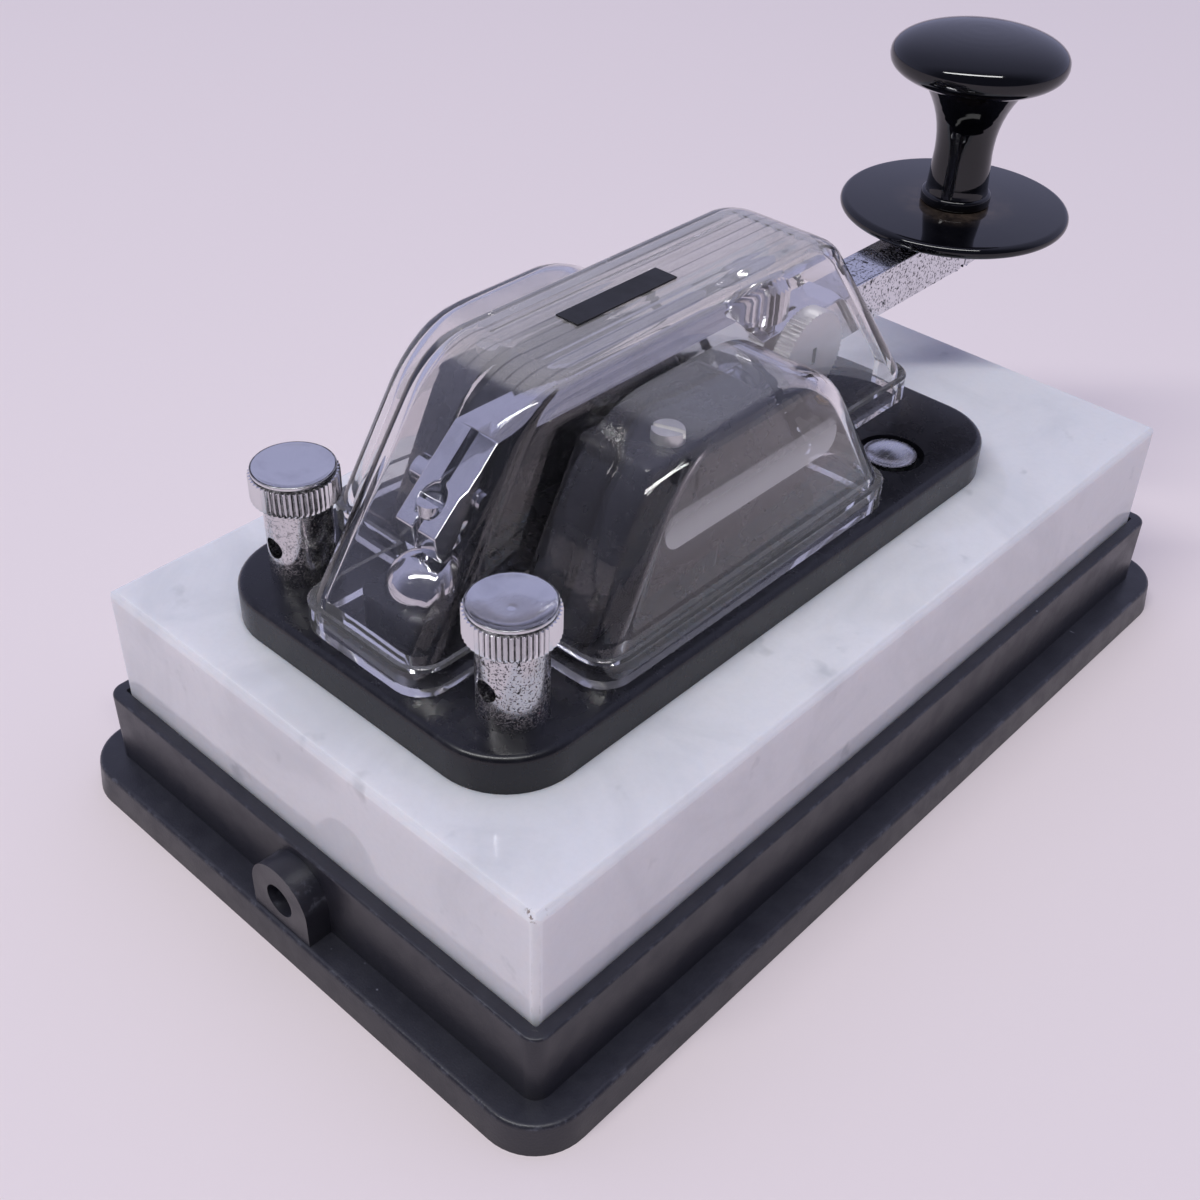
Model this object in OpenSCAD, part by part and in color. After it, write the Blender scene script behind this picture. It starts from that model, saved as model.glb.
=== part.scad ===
// Straight telegraph key on a marble slab, with a clear dust cover.
// Millimetres, +Z up, origin at the centre of the tray's underside.
// The finger knob is at -Y and the wire terminals are at +Y.

/* [Slab] */
// Width of the marble slab
slab_w = 92; // [86:1:100]
// Length of the marble slab
slab_l = 160; // [154:1:175]
// Thickness of the marble slab
slab_t = 30; // [26:1:40]
// Chamfer along the slab's edges
slab_edge = 0.8; // [0.4:0.1:2]

/* [Tray] */
// Gap between the slab and the tray wall
slab_fit = 0.2; // [0.1:0.05:0.5]
// Thickness of the tray wall
tray_wall = 2.2; // [1.6:0.1:3]
// Height that the tray wall grips the slab
tray_grip = 9.6; // [8:0.2:14]
// Thickness of the tray floor
tray_floor = 2.6; // [2:0.1:4]
// Height of the slab's underside above the ground
slab_seat = 9; // [8.4:0.2:12]
// Width of the flange round the tray wall
flange_out = 5.2; // [4:0.2:8]
// Height of the flange
flange_h = 5.6; // [4.6:0.2:6.4]
// Thickness of the flange's skin
flange_skin = 2.4; // [1.8:0.1:3]
// Plan radius of the flange's corners
flange_r = 9; // [6:0.5:12]
// Distance that the flange's side leans out at its foot
flange_draft = 0.5; // [0:0.1:1]
// Round along the flange's top edge
flange_edge = 0.8; // [0.4:0.1:1.4]
// Plan radius of the tray wall's corners
tray_r = 2.6; // [2.4:0.1:5]
// Round along the tray wall's top edge
wall_edge = 0.5; // [0.3:0.1:0.8]
// Thickness of the ribs under the tray
rib_t = 1.8; // [1.2:0.1:3]
// Outer radius of the lug on the rear wall
lug_r = 6.3; // [5:0.1:6.6]
// Distance that the lug stands out from the wall
lug_out = 4; // [3:0.2:4.8]
// Diameter of the hole in the lug
lug_hole = 5.6; // [4:0.1:7]
// Height of the lug's hole above the flange
lug_rise = 5; // [3:0.2:5.6]

/* [Plate] */
// Width of the key plate
plate_w = 63.6; // [62:0.2:76]
// Length of the key plate
plate_l = 121; // [119.5:0.5:130]
// Thickness of the key plate
plate_t = 6.3; // [5.6:0.1:9]
// Plan radius of the plate's corners
plate_r = 11.8; // [8:0.2:13]
// Round along the plate's top edge
plate_edge = 1.2; // [0.5:0.1:2]
// Distance of the plate's middle from the slab's middle
plate_mid = 10.65; // [10:0.05:11.4]
// Diameter of the counterbores for the front screws
bore_wide = 11.5; // [10:0.1:13]
// Depth of those counterbores
bore_deep = 2; // [1.8:0.1:2.4]
// Half the distance between the front screws
front_screw_x = 21.6; // [20:0.2:24]
// Place of the front screws along the plate
front_screw_y = -28.6; // [-31:0.2:-26]
// Diameter of the front screws' dished heads
front_head = 9; // [7:0.1:9.6]
// Depth of the dish in those heads
front_dish = 0.9; // [0.4:0.1:1.2]
// Width of the rim round that dish
front_land = 0.45; // [0.3:0.05:1]
// Diameter of the fixing screws' shanks
shank_d = 4; // [3:0.1:4.4]
// Depth of the threaded anchors in the slab
anchor_deep = 14; // [10:0.5:18]
// Diameter of the threaded anchors
anchor_d = 7; // [6:0.1:8]
// Depth of the channels under the plate
channel_deep = 3.6; // [3.4:0.1:3.9]
// Width of the brass straps
strap_w = 6; // [5.6:0.2:7]
// Thickness of the brass straps
strap_t = 0.8; // [0.5:0.1:1]
// Gap between a strap and the sides of its channel
strap_fit = 0.6; // [0.4:0.1:1]
// Distance from the contacts back to the bend in the long strap
strap_bend = 26.4; // [24:0.2:28]

/* [Terminals] */
// Half the distance between the terminals
term_x = 22; // [21.6:0.1:23]
// Place of the terminals along the plate
term_y = 60.2; // [59:0.1:61]
// Diameter of a terminal post
post_d = 10; // [9:0.1:11]
// Height of a terminal post
post_h = 13.3; // [11:0.1:16]
// Diameter of a knurled head
head_d = 13.1; // [12:0.1:15]
// Height of a knurled head
head_h = 5; // [4.4:0.1:7]
// Depth of the dish in a knurled head
head_dish = 1.1; // [0.6:0.1:1.2]
// Width of the rim round that dish
head_land = 1.2; // [1:0.1:2]
// Bevel round the top of a knurled head
head_bevel = 0.5; // [0.3:0.05:0.6]
// Number of teeth round a knurled head
head_teeth = 48; // [36:1:60]
// Depth of the knurls
knurl_deep = 0.45; // [0.2:0.05:0.5]
// Diameter of the wire hole
wire_d = 3.4; // [2.5:0.1:4]
// Height of the wire hole above the plate
wire_rise = 6.2; // [4:0.1:8]
// Width across the flats of the nuts
nut_af = 7; // [6.4:0.1:7.4]
// Thickness of the nuts
nut_t = 2.4; // [1.8:0.1:2.6]

/* [Bed] */
// Thickness of the bed under the pivot and the back stop
bed_t = 5.8; // [5:0.1:6.4]
// Half width of the bed's tail
bed_x = 6.4; // [6:0.1:8]
// Rear end of the bed's tail
bed_rear = 62.2; // [61.4:0.1:63]
// Margin of the bed round the pillars
bed_rim = 0.8; // [0.4:0.1:2]
// Plan radius of the bed's corners
bed_r = 2; // [1:0.1:3]

/* [Pivot] */
// Place of the pivot along the plate
pivot_y = 25.5; // [24.5:0.1:26.5]
// Height of the pivot above the plate
pivot_rise = 20.6; // [20:0.1:21]
// Distance from the middle to a pillar's inner face
pillar_in = 6.2; // [5.6:0.1:7]
// Width of a pillar across the key
pillar_w = 15; // [13.6:0.1:16]
// Length of a pillar along the key
pillar_l = 15; // [12:0.2:17]
// Height of a pillar's top above the pivot
pillar_h = 4; // [3.6:0.1:4.4]
// Plan radius of a pillar's edges
pillar_r = 1.6; // [0.8:0.1:3]
// Diameter of the pivot screws
pivot_d = 4; // [3.4:0.1:4.4]
// Length of a pivot screw's point
point_l = 1.6; // [1.2:0.1:2]
// Distance from a pillar's inner face to its fixing screw
pillar_fix = 7.3; // [6:0.1:9]
// Depth that a pillar's fixing screw reaches into it
pillar_bite = 8; // [6:0.2:10]
// Distance from a pillar's inner face to its lock screw
pillar_lock = 11.3; // [10:0.1:12.5]
// Diameter of the lock screws' heads
lock_head = 4.6; // [4:0.1:5]
// Height of the lock screws' heads
lock_h = 1.6; // [1.2:0.1:2]
// Diameter of the lock screws' shanks
lock_d = 2.4; // [2:0.1:3]

/* [Lever] */
// Width of the lever
lever_w = 8; // [7:0.1:9]
// Thickness of the lever's front section
lever_t = 8.7; // [8:0.1:9.4]
// Thickness of the lever's raised middle
lever_mid_t = 10; // [9.4:0.1:10.6]
// Height of the front section above the plate
lever_rise = 11.9; // [11.6:0.1:12.4]
// Height that the middle stands above the front section
lever_step = 6.3; // [6:0.1:6.8]
// Front end of the lever
lever_front = -79.7; // [-82:0.1:-79]
// Front foot of the step
step_front = -12.5; // [-13:0.1:-12]
// Rear head of the step
step_back = -5; // [-6:0.1:-4]
// Bend where the rear end starts down
bend_y = 45; // [44:0.1:46]
// Rear end of the lever
lever_rear = 56.5; // [56:0.1:57]
// Drop of the lever's top from the bend to the rear end
rear_drop = 10.5; // [10:0.1:11]
// Height of the rear end's face
rear_face = 4; // [3:0.1:4.4]
// Slant of the rear end's face
rear_slant = 0.5; // [0.2:0.1:1]
// Distance that the step's front corner lies further forward underneath
step_under = 1; // [0.5:0.1:2]
// Distance that the step's rear corner lies further forward underneath
back_under = 2; // [1:0.1:3]
// Distance that the bend lies further forward underneath
bend_under = 3.5; // [2:0.1:5]
// Width of the slits in the lever
slit_w = 0.9; // [0.6:0.1:1.4]

/* [Adjusters] */
// Place of the gap screw along the lever
gap_y = 53.3; // [53:0.1:53.5]
// Diameter of the gap screw
gap_d = 3; // [2.5:0.1:3.4]
// Diameter of the gap screw's head
gap_head = 4; // [3.6:0.1:4.2]
// Height of the gap screw's head
gap_head_h = 1.8; // [1.4:0.1:2.2]
// Height of the spot face under that head, above the plate
gap_seat = 17.6; // [17.2:0.1:17.8]
// Place of the cross screw that closes the rear slit
gap_clamp_y = 48.2; // [47.8:0.1:48.4]
// Height of that cross screw above the plate
gap_clamp_rise = 18.6; // [18:0.1:19]
// Diameter of that cross screw
gap_clamp_d = 3; // [2.5:0.1:3.2]
// Diameter of that cross screw's head
gap_clamp_head = 5; // [4.4:0.1:5.6]
// Height of that cross screw's head
gap_clamp_h = 3.6; // [2.4:0.1:4]
// Diameter of the back stop's dome
dome_d = 11.4; // [10:0.1:12]
// Height of the back stop's dome
dome_h = 5.6; // [5.3:0.1:6]
// Place of the dome along the key
dome_y = 55.2; // [54.6:0.1:55.6]
// Gap between the gap screw and the dome
stop_gap = 0.05; // [0.03:0.01:0.08]
// Place of the tension screw along the lever
tension_y = -15.8; // [-16:0.1:-15.4]
// Diameter of the tension screw
tension_d = 4; // [3:0.1:4.2]
// Diameter of the tension screw's knob
tension_knob_d = 9.6; // [8:0.1:11]
// Height of the tension screw's knob
tension_knob_h = 6.4; // [5:0.1:7.6]
// Height of the neck under that knob
tension_neck = 2; // [1.4:0.1:3]
// Diameter of that neck
tension_neck_d = 6; // [5:0.1:7]
// Place of the clamp wheel along the lever
wheel_y = -21; // [-21.6:0.1:-20.6]
// Diameter of the clamp wheel
wheel_d = 15.4; // [13:0.1:16]
// Thickness of the clamp wheel
wheel_t = 3.2; // [2.6:0.1:3.3]
// Number of teeth round the clamp wheel
wheel_teeth = 56; // [40:1:64]
// Diameter of the clamp wheel's screw
wheel_shank = 3; // [2.5:0.1:3.4]
// Thickness of the clamp wheel's hub
wheel_hub = 1; // [0.8:0.1:1.2]
// Reach of the front slit past the clamp wheel's screw
slit_reach = 5; // [3:0.2:6]

/* [Contacts] */
// Place of the contacts along the lever
contact_y = -34; // [-36:0.1:-33]
// Gap between the contacts
contact_gap = 0.5; // [0.4:0.05:0.6]
// Height of the upper contact's head under the lever
contact_head = 2; // [1.6:0.1:2.4]
// Diameter of the contact posts
contact_d = 5; // [4:0.1:6]
// Diameter of the contact tips
tip_d = 3; // [2.5:0.1:3.6]
// Wire diameter of the return spring
wire = 0.8; // [0.6:0.05:0.9]
// Mean diameter of the return spring
spring_d = 6.6; // [6:0.1:7]
// Number of turns of the return spring
spring_turns = 4.5; // [3.5:0.5:5]
// Wall of the cups that hold the spring
cup_wall = 0.8; // [0.6:0.1:1]
// Depth of the cups that hold the spring
cup_deep = 1.2; // [0.8:0.1:1.4]
// Gap between the spring and its cups
cup_fit = 0.3; // [0.2:0.05:0.5]

/* [Knob] */
// Place of the knob along the lever
knob_y = -74.85; // [-75.5:0.05:-74]
// Diameter of the boss under the skirt
boss_d = 13; // [11:0.1:15]
// Thickness of that boss
boss_t = 1.2; // [0.8:0.1:2]
// Diameter of the skirt
skirt_d = 41.4; // [38:0.2:46]
// Thickness of the skirt
skirt_t = 2.2; // [1.8:0.1:3]
// Diameter of the knob's foot
knob_foot = 12.6; // [12:0.1:14]
// Height of the knob's foot
foot_h = 2.2; // [1.6:0.1:3]
// Diameter of the knob's stem
stem_d = 10.3; // [9:0.1:11]
// Height of the stem's waist above the knob's foot
stem_waist = 9.2; // [7:0.1:12]
// Distance that the stem widens from its waist down to the foot
stem_spread = 0.35; // [0.1:0.05:0.8]
// Diameter where the stem meets the cap
stem_top_d = 19; // [15:0.1:22]
// Diameter of the knob's cap
cap_d = 30.8; // [28:0.1:34]
// Height of the knob's cap
cap_h = 9.6; // [8:0.1:12]
// Height of the knob from its foot to its top
knob_h = 30.8; // [28:0.1:34]
// Diameter of the knob's screw
knob_screw_d = 4; // [3:0.1:4.4]
// Depth of the knob's threaded hole
knob_hole = 14; // [10:0.5:18]

/* [Cover] */
// Thickness of the cover's walls
cover_wall = 1.6; // [1.3:0.1:1.8]
// Height of the cover
cover_h = 37.1; // [36:0.1:40]
// Height of the band round the cover's foot
band_h = 4.5; // [3.5:0.1:6]
// Distance that the band stands proud of the walls
band_out = 1; // [0.6:0.1:1.2]
// Half width of the body at its band
body_x = 13.2; // [13:0.1:14]
// Front of the body at its band
body_front = -48.3; // [-49:0.1:-47.4]
// Rear of the body at its band
body_rear = 68.9; // [68.6:0.1:69.4]
// Distance that the body's sides lean in
body_lean = 1.2; // [0.8:0.1:1.6]
// Slope of the body's front, in degrees
body_front_slope = 52.5; // [50:0.5:58]
// Radius where the body's front meets its top
body_front_r = 10; // [6:0.5:14]
// Slope of the body's rear, in degrees
body_rear_slope = 56.5; // [55.5:0.5:62]
// Radius where the body's rear meets its top
body_rear_r = 14.4; // [10:0.2:18]
// Radius along the body's top edges
body_side_r = 2.2; // [2:0.1:3]
// Half width across the humps at their band
hump_x = 29.6; // [28.8:0.1:30.4]
// Front of the humps at their band
hump_front = -17.5; // [-18.5:0.1:-16.5]
// Rear of the humps at their band
hump_rear = 50.5; // [49.5:0.1:51.5]
// Height of the humps above the pillars
hump_h = 5.6; // [5:0.1:6.4]
// Distance that the humps' sides lean in
hump_lean = 1.8; // [1:0.1:2.2]
// Slope of the humps' fronts, in degrees
hump_front_slope = 58.5; // [55:0.5:62]
// Radius where the humps' fronts meet their tops
hump_front_r = 16.6; // [12:0.2:18]
// Slope of the humps' rears, in degrees
hump_rear_slope = 59.5; // [57:0.5:63]
// Radius where the humps' rears meet their tops
hump_rear_r = 19; // [14:0.2:20]
// Radius along the humps' top edges
hump_side_r = 3; // [2.2:0.1:4]
// Plan radius of the band's corners
band_r = 5; // [4:0.1:6]
// Plan radius of the walls' corners
cover_r = 4.4; // [3.6:0.1:5]
// Width of the slot for the lever
slot_w = 10.6; // [10.2:0.1:12]
// Radius of the slot's upper corners
slot_r = 3; // [1:0.1:5]
// Clearance over the lever in that slot
slot_over = 1.8; // [1.2:0.1:3]
// Distance that the slot reaches back from the cover's front
slot_deep = 20; // [18:0.5:24]
// Number of flutes along the cover's top
flutes = 7; // [3:1:7]
// Distance between the flutes
flute_pitch = 2.2; // [1.8:0.1:2.4]
// Width of the flutes
flute_w = 1.6; // [1.2:0.1:1.7]
// Depth of the flutes
flute_deep = 0.15; // [0.1:0.05:0.3]
// Width of the strip on the cover's top
label_w = 4.2; // [3:0.1:6]
// Length of the strip
label_l = 21; // [15:0.5:26]
// Thickness of the strip
label_t = 0.25; // [0.15:0.05:0.4]
// Middle of the strip along the cover
label_y = 17.3; // [14:0.1:20]

/* [Fits] */
// Width of the slots in the small screws
slot_wide = 0.8; // [0.6:0.05:1]
// Radial clearance of a screw in its hole
screw_fit = 0.08; // [0.05:0.01:0.1]
// Clearance of the pivot points in the lever
point_fit = 0.08; // [0.05:0.01:0.12]
// Clearance between pieces that are only placed
place_fit = 0.1; // [0.05:0.01:0.2]

/* [Hidden] */

$fn = 64;
cut = 1;
black = [0.06, 0.06, 0.065];
chrome = [0.78, 0.79, 0.82];
brass = [0.75, 0.62, 0.32];
clear = [0.85, 0.86, 0.88, 0.4];

// Levels
slab_top = slab_seat + slab_t;
deck = slab_top + plate_t;
rim_z = slab_seat + tray_grip;
lever_top = lever_rise + lever_t;
mid_top = lever_top + lever_step;
mid_low = mid_top - lever_mid_t;
rear_top = mid_top - rear_drop;
pillar_top = pivot_rise + pillar_h;
hump_top = pillar_top + hump_h;
cover_low = deck + place_fit;
wheel_rise = lever_rise + lever_t / 2;
skirt_low = lever_top + boss_t;
knob_low = skirt_low + skirt_t;
dome_top = bed_t + dome_h;
tip_low = lever_rise - contact_head;
post_top = tip_low - contact_gap;
strap_z = slab_top + channel_deep - strap_t;

// Plan sizes
well_w = slab_w + 2 * slab_fit;
well_l = slab_l + 2 * slab_fit;
wall_w = well_w + 2 * tray_wall;
wall_l = well_l + 2 * tray_wall;
flange_w = wall_w + 2 * flange_out;
flange_l = wall_l + 2 * flange_out;
channel_w = strap_w + 2 * strap_fit;
pillar_x = pillar_in + pillar_fix;
lock_x = pillar_in + pillar_lock;
pillar_out = pillar_in + pillar_w;
nut_pocket = nut_af / cos(30) + 2 * strap_fit;

// Places
front_screws = [[-front_screw_x, front_screw_y], [front_screw_x, front_screw_y]];
anchors = concat(front_screws, [[0, dome_y]]);
terminals = [[-term_x, term_y], [term_x, term_y]];
pivot_route = [[-term_x, term_y], [-pillar_x, pivot_y]];
contact_route = [[term_x, term_y], [term_x, contact_y + strap_bend], [0, contact_y]];

// Points of an arc, from angle a to angle b
function arc(x, y, r, a, b, steps) =
    [for (i = [0 : steps]) let (t = a + (b - a) * i / steps) [x + r * cos(t), y + r * sin(t)]];

// Outline of a plate with round corners, from y0 to y1 and half as wide as it is across
function round_outline(half, y0, y1, r, steps) = concat(
    arc(half - r, y1 - r, r, 0, 90, steps), arc(r - half, y1 - r, r, 90, 180, steps),
    arc(r - half, y0 + r, r, 180, 270, steps), arc(half - r, y0 + r, r, 270, 360, steps));

// Outline of a knurled rim with pointed teeth
function knurl_outline(d, teeth) =
    [for (i = [0 : 2 * teeth - 1]) let (r = d / 2 - (i % 2) * knurl_deep, t = 180 * i / teeth)
        [r * cos(t), r * sin(t)]];

// Turns a profile drawn in (along, up) into a bar that lies across the key
module across(width) {
    rotate([90, 0, 90]) linear_extrude(width, center = true) children();
}

// A straight-sided block with round upright edges, open to true arcs
module round_block(w, l, r, h) {
    linear_extrude(h) {
        square([w - 2 * r, l], center = true);
        square([w, l - 2 * r], center = true);
        for (x = [-1, 1], y = [-1, 1])
            translate([x * (w / 2 - r), y * (l / 2 - r)]) circle(r);
    }
}

// A plate with round corners, a rounded top edge and sides that lean out at the foot
module soft_plate(w, l, r, h, edge, draft = 0) {
    hull() for (x = [-1, 1], y = [-1, 1])
        translate([x * (w / 2 - r), y * (l / 2 - r), 0])
            rotate_extrude($fn = 48)
                polygon(concat([[0, h], [0, 0], [r, 0]], arc(r - draft - edge, h - edge, edge, 0, 90, 5)));
}

// A lofted block: each ring is [half width, front, rear, corner radius, height]
module loft(rings, steps) {
    count = 4 * (steps + 1);
    last = len(rings) - 1;
    points = [for (g = rings) for (p = round_outline(g[0], g[1], g[2], g[3], steps)) [p[0], p[1], g[4]]];
    sides = [for (k = [0 : last - 1], i = [0 : count - 1]) let (j = (i + 1) % count)
        each [[k * count + i, (k + 1) * count + i, (k + 1) * count + j],
              [k * count + i, (k + 1) * count + j, k * count + j]]];
    floor_cap = [[for (i = [0 : count - 1]) i]];
    roof_cap = [[for (i = [count - 1 : -1 : 0]) last * count + i]];
    polyhedron(points, concat(floor_cap, sides, roof_cap));
}

// A fixing screw's shank, with its top at the origin
module shank(d, l) {
    translate([0, 0, -l]) cylinder(d = d, h = l);
}

// A screw slot across a head, with its floor at the origin
module slot(l, w, deep) {
    translate([-l / 2, -w / 2, 0]) cube([l, w, deep + cut]);
}

// A ball that dishes a flat face at the origin
module dish(rim, deep) {
    ball = (pow(rim, 2) + pow(deep, 2)) / (2 * deep);
    translate([0, 0, ball - deep]) sphere(r = ball);
}

module hex_nut(hole) {
    difference() {
        cylinder(d = nut_af / cos(30), h = nut_t, $fn = 6);
        translate([0, 0, -cut]) cylinder(d = hole, h = nut_t + 2 * cut);
    }
}

// A flat strip along a route, with a round eye at each end
module strip(route, w, h) {
    linear_extrude(h) {
        for (p = route) translate(p) circle(d = w);
        for (i = [0 : len(route) - 2]) {
            leg = route[i + 1] - route[i];
            translate(route[i]) rotate(atan2(leg[1], leg[0]))
                translate([0, -w / 2]) square([norm(leg), w]);
        }
    }
}

// Tray under the slab
module lug() {
    reach = lug_out + tray_wall / 2;
    translate([0, wall_l / 2 + lug_out, flange_h + lug_rise]) rotate([90, 0, 0]) {
        cylinder(r = lug_r, h = reach);
        translate([-lug_r, -lug_rise - flange_edge, 0]) cube([2 * lug_r, lug_rise + flange_edge, reach]);
    }
}

module tray_hollow() {
    skin_w = flange_w - 2 * flange_skin;
    skin_l = flange_l - 2 * flange_skin;
    difference() {
        union() {
            translate([0, 0, -cut])
                round_block(skin_w, skin_l, flange_r - flange_skin, flange_h - flange_skin + cut);
            translate([0, 0, -cut]) round_block(well_w, well_l, tray_r, slab_seat - tray_floor + cut);
        }
        translate([-rib_t / 2, -flange_l / 2, -2 * cut]) cube([rib_t, flange_l, slab_seat]);
        translate([-flange_w / 2, -rib_t / 2, -2 * cut]) cube([flange_w, rib_t, slab_seat]);
    }
}

module base_tray() {
    color(black) difference() {
        union() {
            soft_plate(flange_w, flange_l, flange_r, flange_h, flange_edge, flange_draft);
            soft_plate(wall_w, wall_l, tray_r, rim_z, wall_edge);
            lug();
        }
        translate([0, 0, slab_seat]) round_block(well_w, well_l, tray_r - tray_wall, slab_t);
        tray_hollow();
        translate([0, wall_l / 2 + lug_out + cut, flange_h + lug_rise]) rotate([90, 0, 0])
            cylinder(d = lug_hole, h = lug_out + tray_wall + slab_fit + cut);
    }
}

// Marble slab and its anchors
module marble_slab() {
    narrow_w = slab_w - 2 * slab_edge;
    narrow_l = slab_l - 2 * slab_edge;
    color("white") difference() {
        translate([0, 0, slab_seat]) hull() {
            translate([-slab_w / 2, -narrow_l / 2, 0]) cube([slab_w, narrow_l, slab_t - slab_edge]);
            translate([-narrow_w / 2, -slab_l / 2, 0]) cube([narrow_w, slab_l, slab_t - slab_edge]);
            translate([-narrow_w / 2, -narrow_l / 2, 0]) cube([narrow_w, narrow_l, slab_t]);
        }
        for (p = anchors) translate([p[0], p[1], slab_top - anchor_deep])
            cylinder(d = anchor_d + 2 * screw_fit, h = anchor_deep + cut);
    }
}

module stone_anchors() {
    color(brass) for (p = anchors) translate([p[0], p[1], slab_top - anchor_deep]) difference() {
        cylinder(d = anchor_d, h = anchor_deep);
        translate([0, 0, cut]) cylinder(d = shank_d + 2 * screw_fit, h = anchor_deep);
    }
}

// Key plate with its screws
module key_plate() {
    color(black) difference() {
        translate([0, plate_mid, slab_top]) soft_plate(plate_w, plate_l, plate_r, plate_t, plate_edge);
        for (p = concat(anchors, terminals, [[pillar_x, pivot_y], [-pillar_x, pivot_y], [0, contact_y]]))
            translate([p[0], p[1], slab_top - cut])
                cylinder(d = shank_d + 2 * screw_fit, h = plate_t + 2 * cut);
        for (p = front_screws)
            translate([p[0], p[1], deck - bore_deep]) cylinder(d = bore_wide, h = bore_deep + cut);
        translate([0, 0, slab_top - cut]) {
            strip(pivot_route, channel_w, channel_deep + cut);
            strip(contact_route, channel_w, channel_deep + cut);
            for (p = concat(terminals, [[pillar_x, pivot_y], [-pillar_x, pivot_y], [0, contact_y]]))
                translate(p) cylinder(d = nut_pocket, h = channel_deep + cut);
        }
        translate([0, tension_y, deck - cup_deep])
            cylinder(d = tension_d + 2 * screw_fit, h = cup_deep + cut);
    }
}

module plate_screws() {
    color(chrome) for (p = front_screws) translate([p[0], p[1], deck - bore_deep]) difference() {
        union() {
            cylinder(d = front_head, h = bore_deep);
            shank(shank_d, anchor_deep + plate_t - bore_deep - 2 * cut);
        }
        translate([0, 0, bore_deep]) dish(front_head / 2 - front_land, front_dish);
    }
}

// Wire terminals
module terminal_posts() {
    stud = head_h - 2 * cut - place_fit;
    color(chrome) for (p = terminals) translate([p[0], p[1], deck]) difference() {
        union() {
            cylinder(d = post_d, h = post_h);
            cylinder(d = shank_d, h = post_h + stud);
            shank(shank_d, plate_t - cut / 2);
        }
        translate([0, 0, wire_rise]) rotate([90, 0, 0]) cylinder(d = wire_d, h = 2 * post_d, center = true);
    }
}

module terminal_head() {
    r = head_d / 2 - knurl_deep - place_fit;
    translate([0, 0, deck + post_h]) difference() {
        union() {
            linear_extrude(head_h - head_bevel) polygon(knurl_outline(head_d, head_teeth));
            rotate_extrude() polygon([[0, cut], [r, cut], [r, head_h - head_bevel], [r - head_bevel, head_h],
                [0, head_h]]);
        }
        translate([0, 0, -cut]) cylinder(d = shank_d + 2 * screw_fit, h = head_h - cut);
        translate([0, 0, head_h]) dish(head_d / 2 - head_land, head_dish);
    }
}

module terminal_head_left() {
    color(chrome) translate([term_x, term_y, 0]) terminal_head();
}

module terminal_head_right() {
    color(chrome) translate([-term_x, term_y, 0]) terminal_head();
}

module terminal_nuts() {
    color(brass) for (p = terminals)
        translate([p[0], p[1], strap_z - nut_t]) hex_nut(shank_d + 2 * screw_fit);
}

// Brass straps under the plate
module strap(route) {
    translate([0, 0, strap_z]) difference() {
        strip(route, strap_w, strap_t);
        for (p = [route[0], route[len(route) - 1]])
            translate([p[0], p[1], -cut]) cylinder(d = shank_d + 2 * screw_fit, h = strap_t + 2 * cut);
    }
}

module contact_strap() {
    color(brass) strap(contact_route);
}

module pivot_strap() {
    color(brass) strap(pivot_route);
}

// Bed under the pivot and the back stop
module frame_bed() {
    cross_w = 2 * (pillar_out + bed_rim);
    cross_l = pillar_l + 2 * bed_rim;
    tail_l = bed_rear - pivot_y;
    color(black) translate([0, 0, deck]) difference() {
        union() {
            translate([0, pivot_y, 0]) round_block(cross_w, cross_l, bed_r, bed_t);
            translate([0, pivot_y + tail_l / 2, 0]) round_block(2 * bed_x, tail_l, bed_r, bed_t);
        }
        for (p = [[pillar_x, pivot_y], [-pillar_x, pivot_y], [0, dome_y]])
            translate([p[0], p[1], -cut]) cylinder(d = shank_d + 2 * screw_fit, h = bed_t + 2 * cut);
    }
}

// Pivot pillars, drawn on the +X side
module pillar() {
    translate([pillar_in + pillar_w / 2, pivot_y, deck]) difference() {
        translate([0, 0, bed_t]) round_block(pillar_w, pillar_l, pillar_r, pillar_top - bed_t);
        translate([0, 0, pivot_rise]) rotate([0, 90, 0])
            cylinder(d = pivot_d + 2 * screw_fit, h = pillar_w + 2 * cut, center = true);
        translate([pillar_fix - pillar_w / 2, 0, bed_t - cut])
            cylinder(d = shank_d + 2 * screw_fit, h = pillar_bite + 2 * cut);
        translate([pillar_lock - pillar_w / 2, 0, pivot_rise])
            cylinder(d = lock_d + 2 * screw_fit, h = pillar_h + cut);
    }
}

module pivot_pillar_left() {
    color(black) pillar();
}

module pivot_pillar_right() {
    color(black) mirror([1, 0, 0]) pillar();
}

module pillar_screws() {
    seats = [[-pillar_x, pivot_y, strap_z], [pillar_x, pivot_y, strap_z + strap_t]];
    color(chrome) for (seat = seats) translate(seat) difference() {
        union() {
            shank(nut_af, nut_t);
            cylinder(d = shank_d, h = deck - seat[2] + bed_t + pillar_bite);
        }
        translate([0, 0, -nut_t / 2]) rotate([180, 0, 0]) slot(nut_af + cut, cut, nut_t);
    }
}

// A pointed pivot screw on the +X side, with its slot outside the pillar
module pivot_screw() {
    tip = lever_w / 2 - point_l + point_fit;
    end = pillar_out + cut;
    translate([0, pivot_y, deck + pivot_rise]) difference() {
        rotate([0, 90, 0]) rotate_extrude()
            polygon([[0, tip], [pivot_d / 2, tip + pivot_d / 2], [pivot_d / 2, end], [0, end]]);
        translate([pillar_out, 0, 0]) rotate([0, 90, 0]) slot(pivot_d + cut, slot_wide, cut);
    }
}

module pivot_screw_left() {
    color(chrome) pivot_screw();
}

module pivot_screw_right() {
    color(chrome) mirror([1, 0, 0]) pivot_screw();
}

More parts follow.
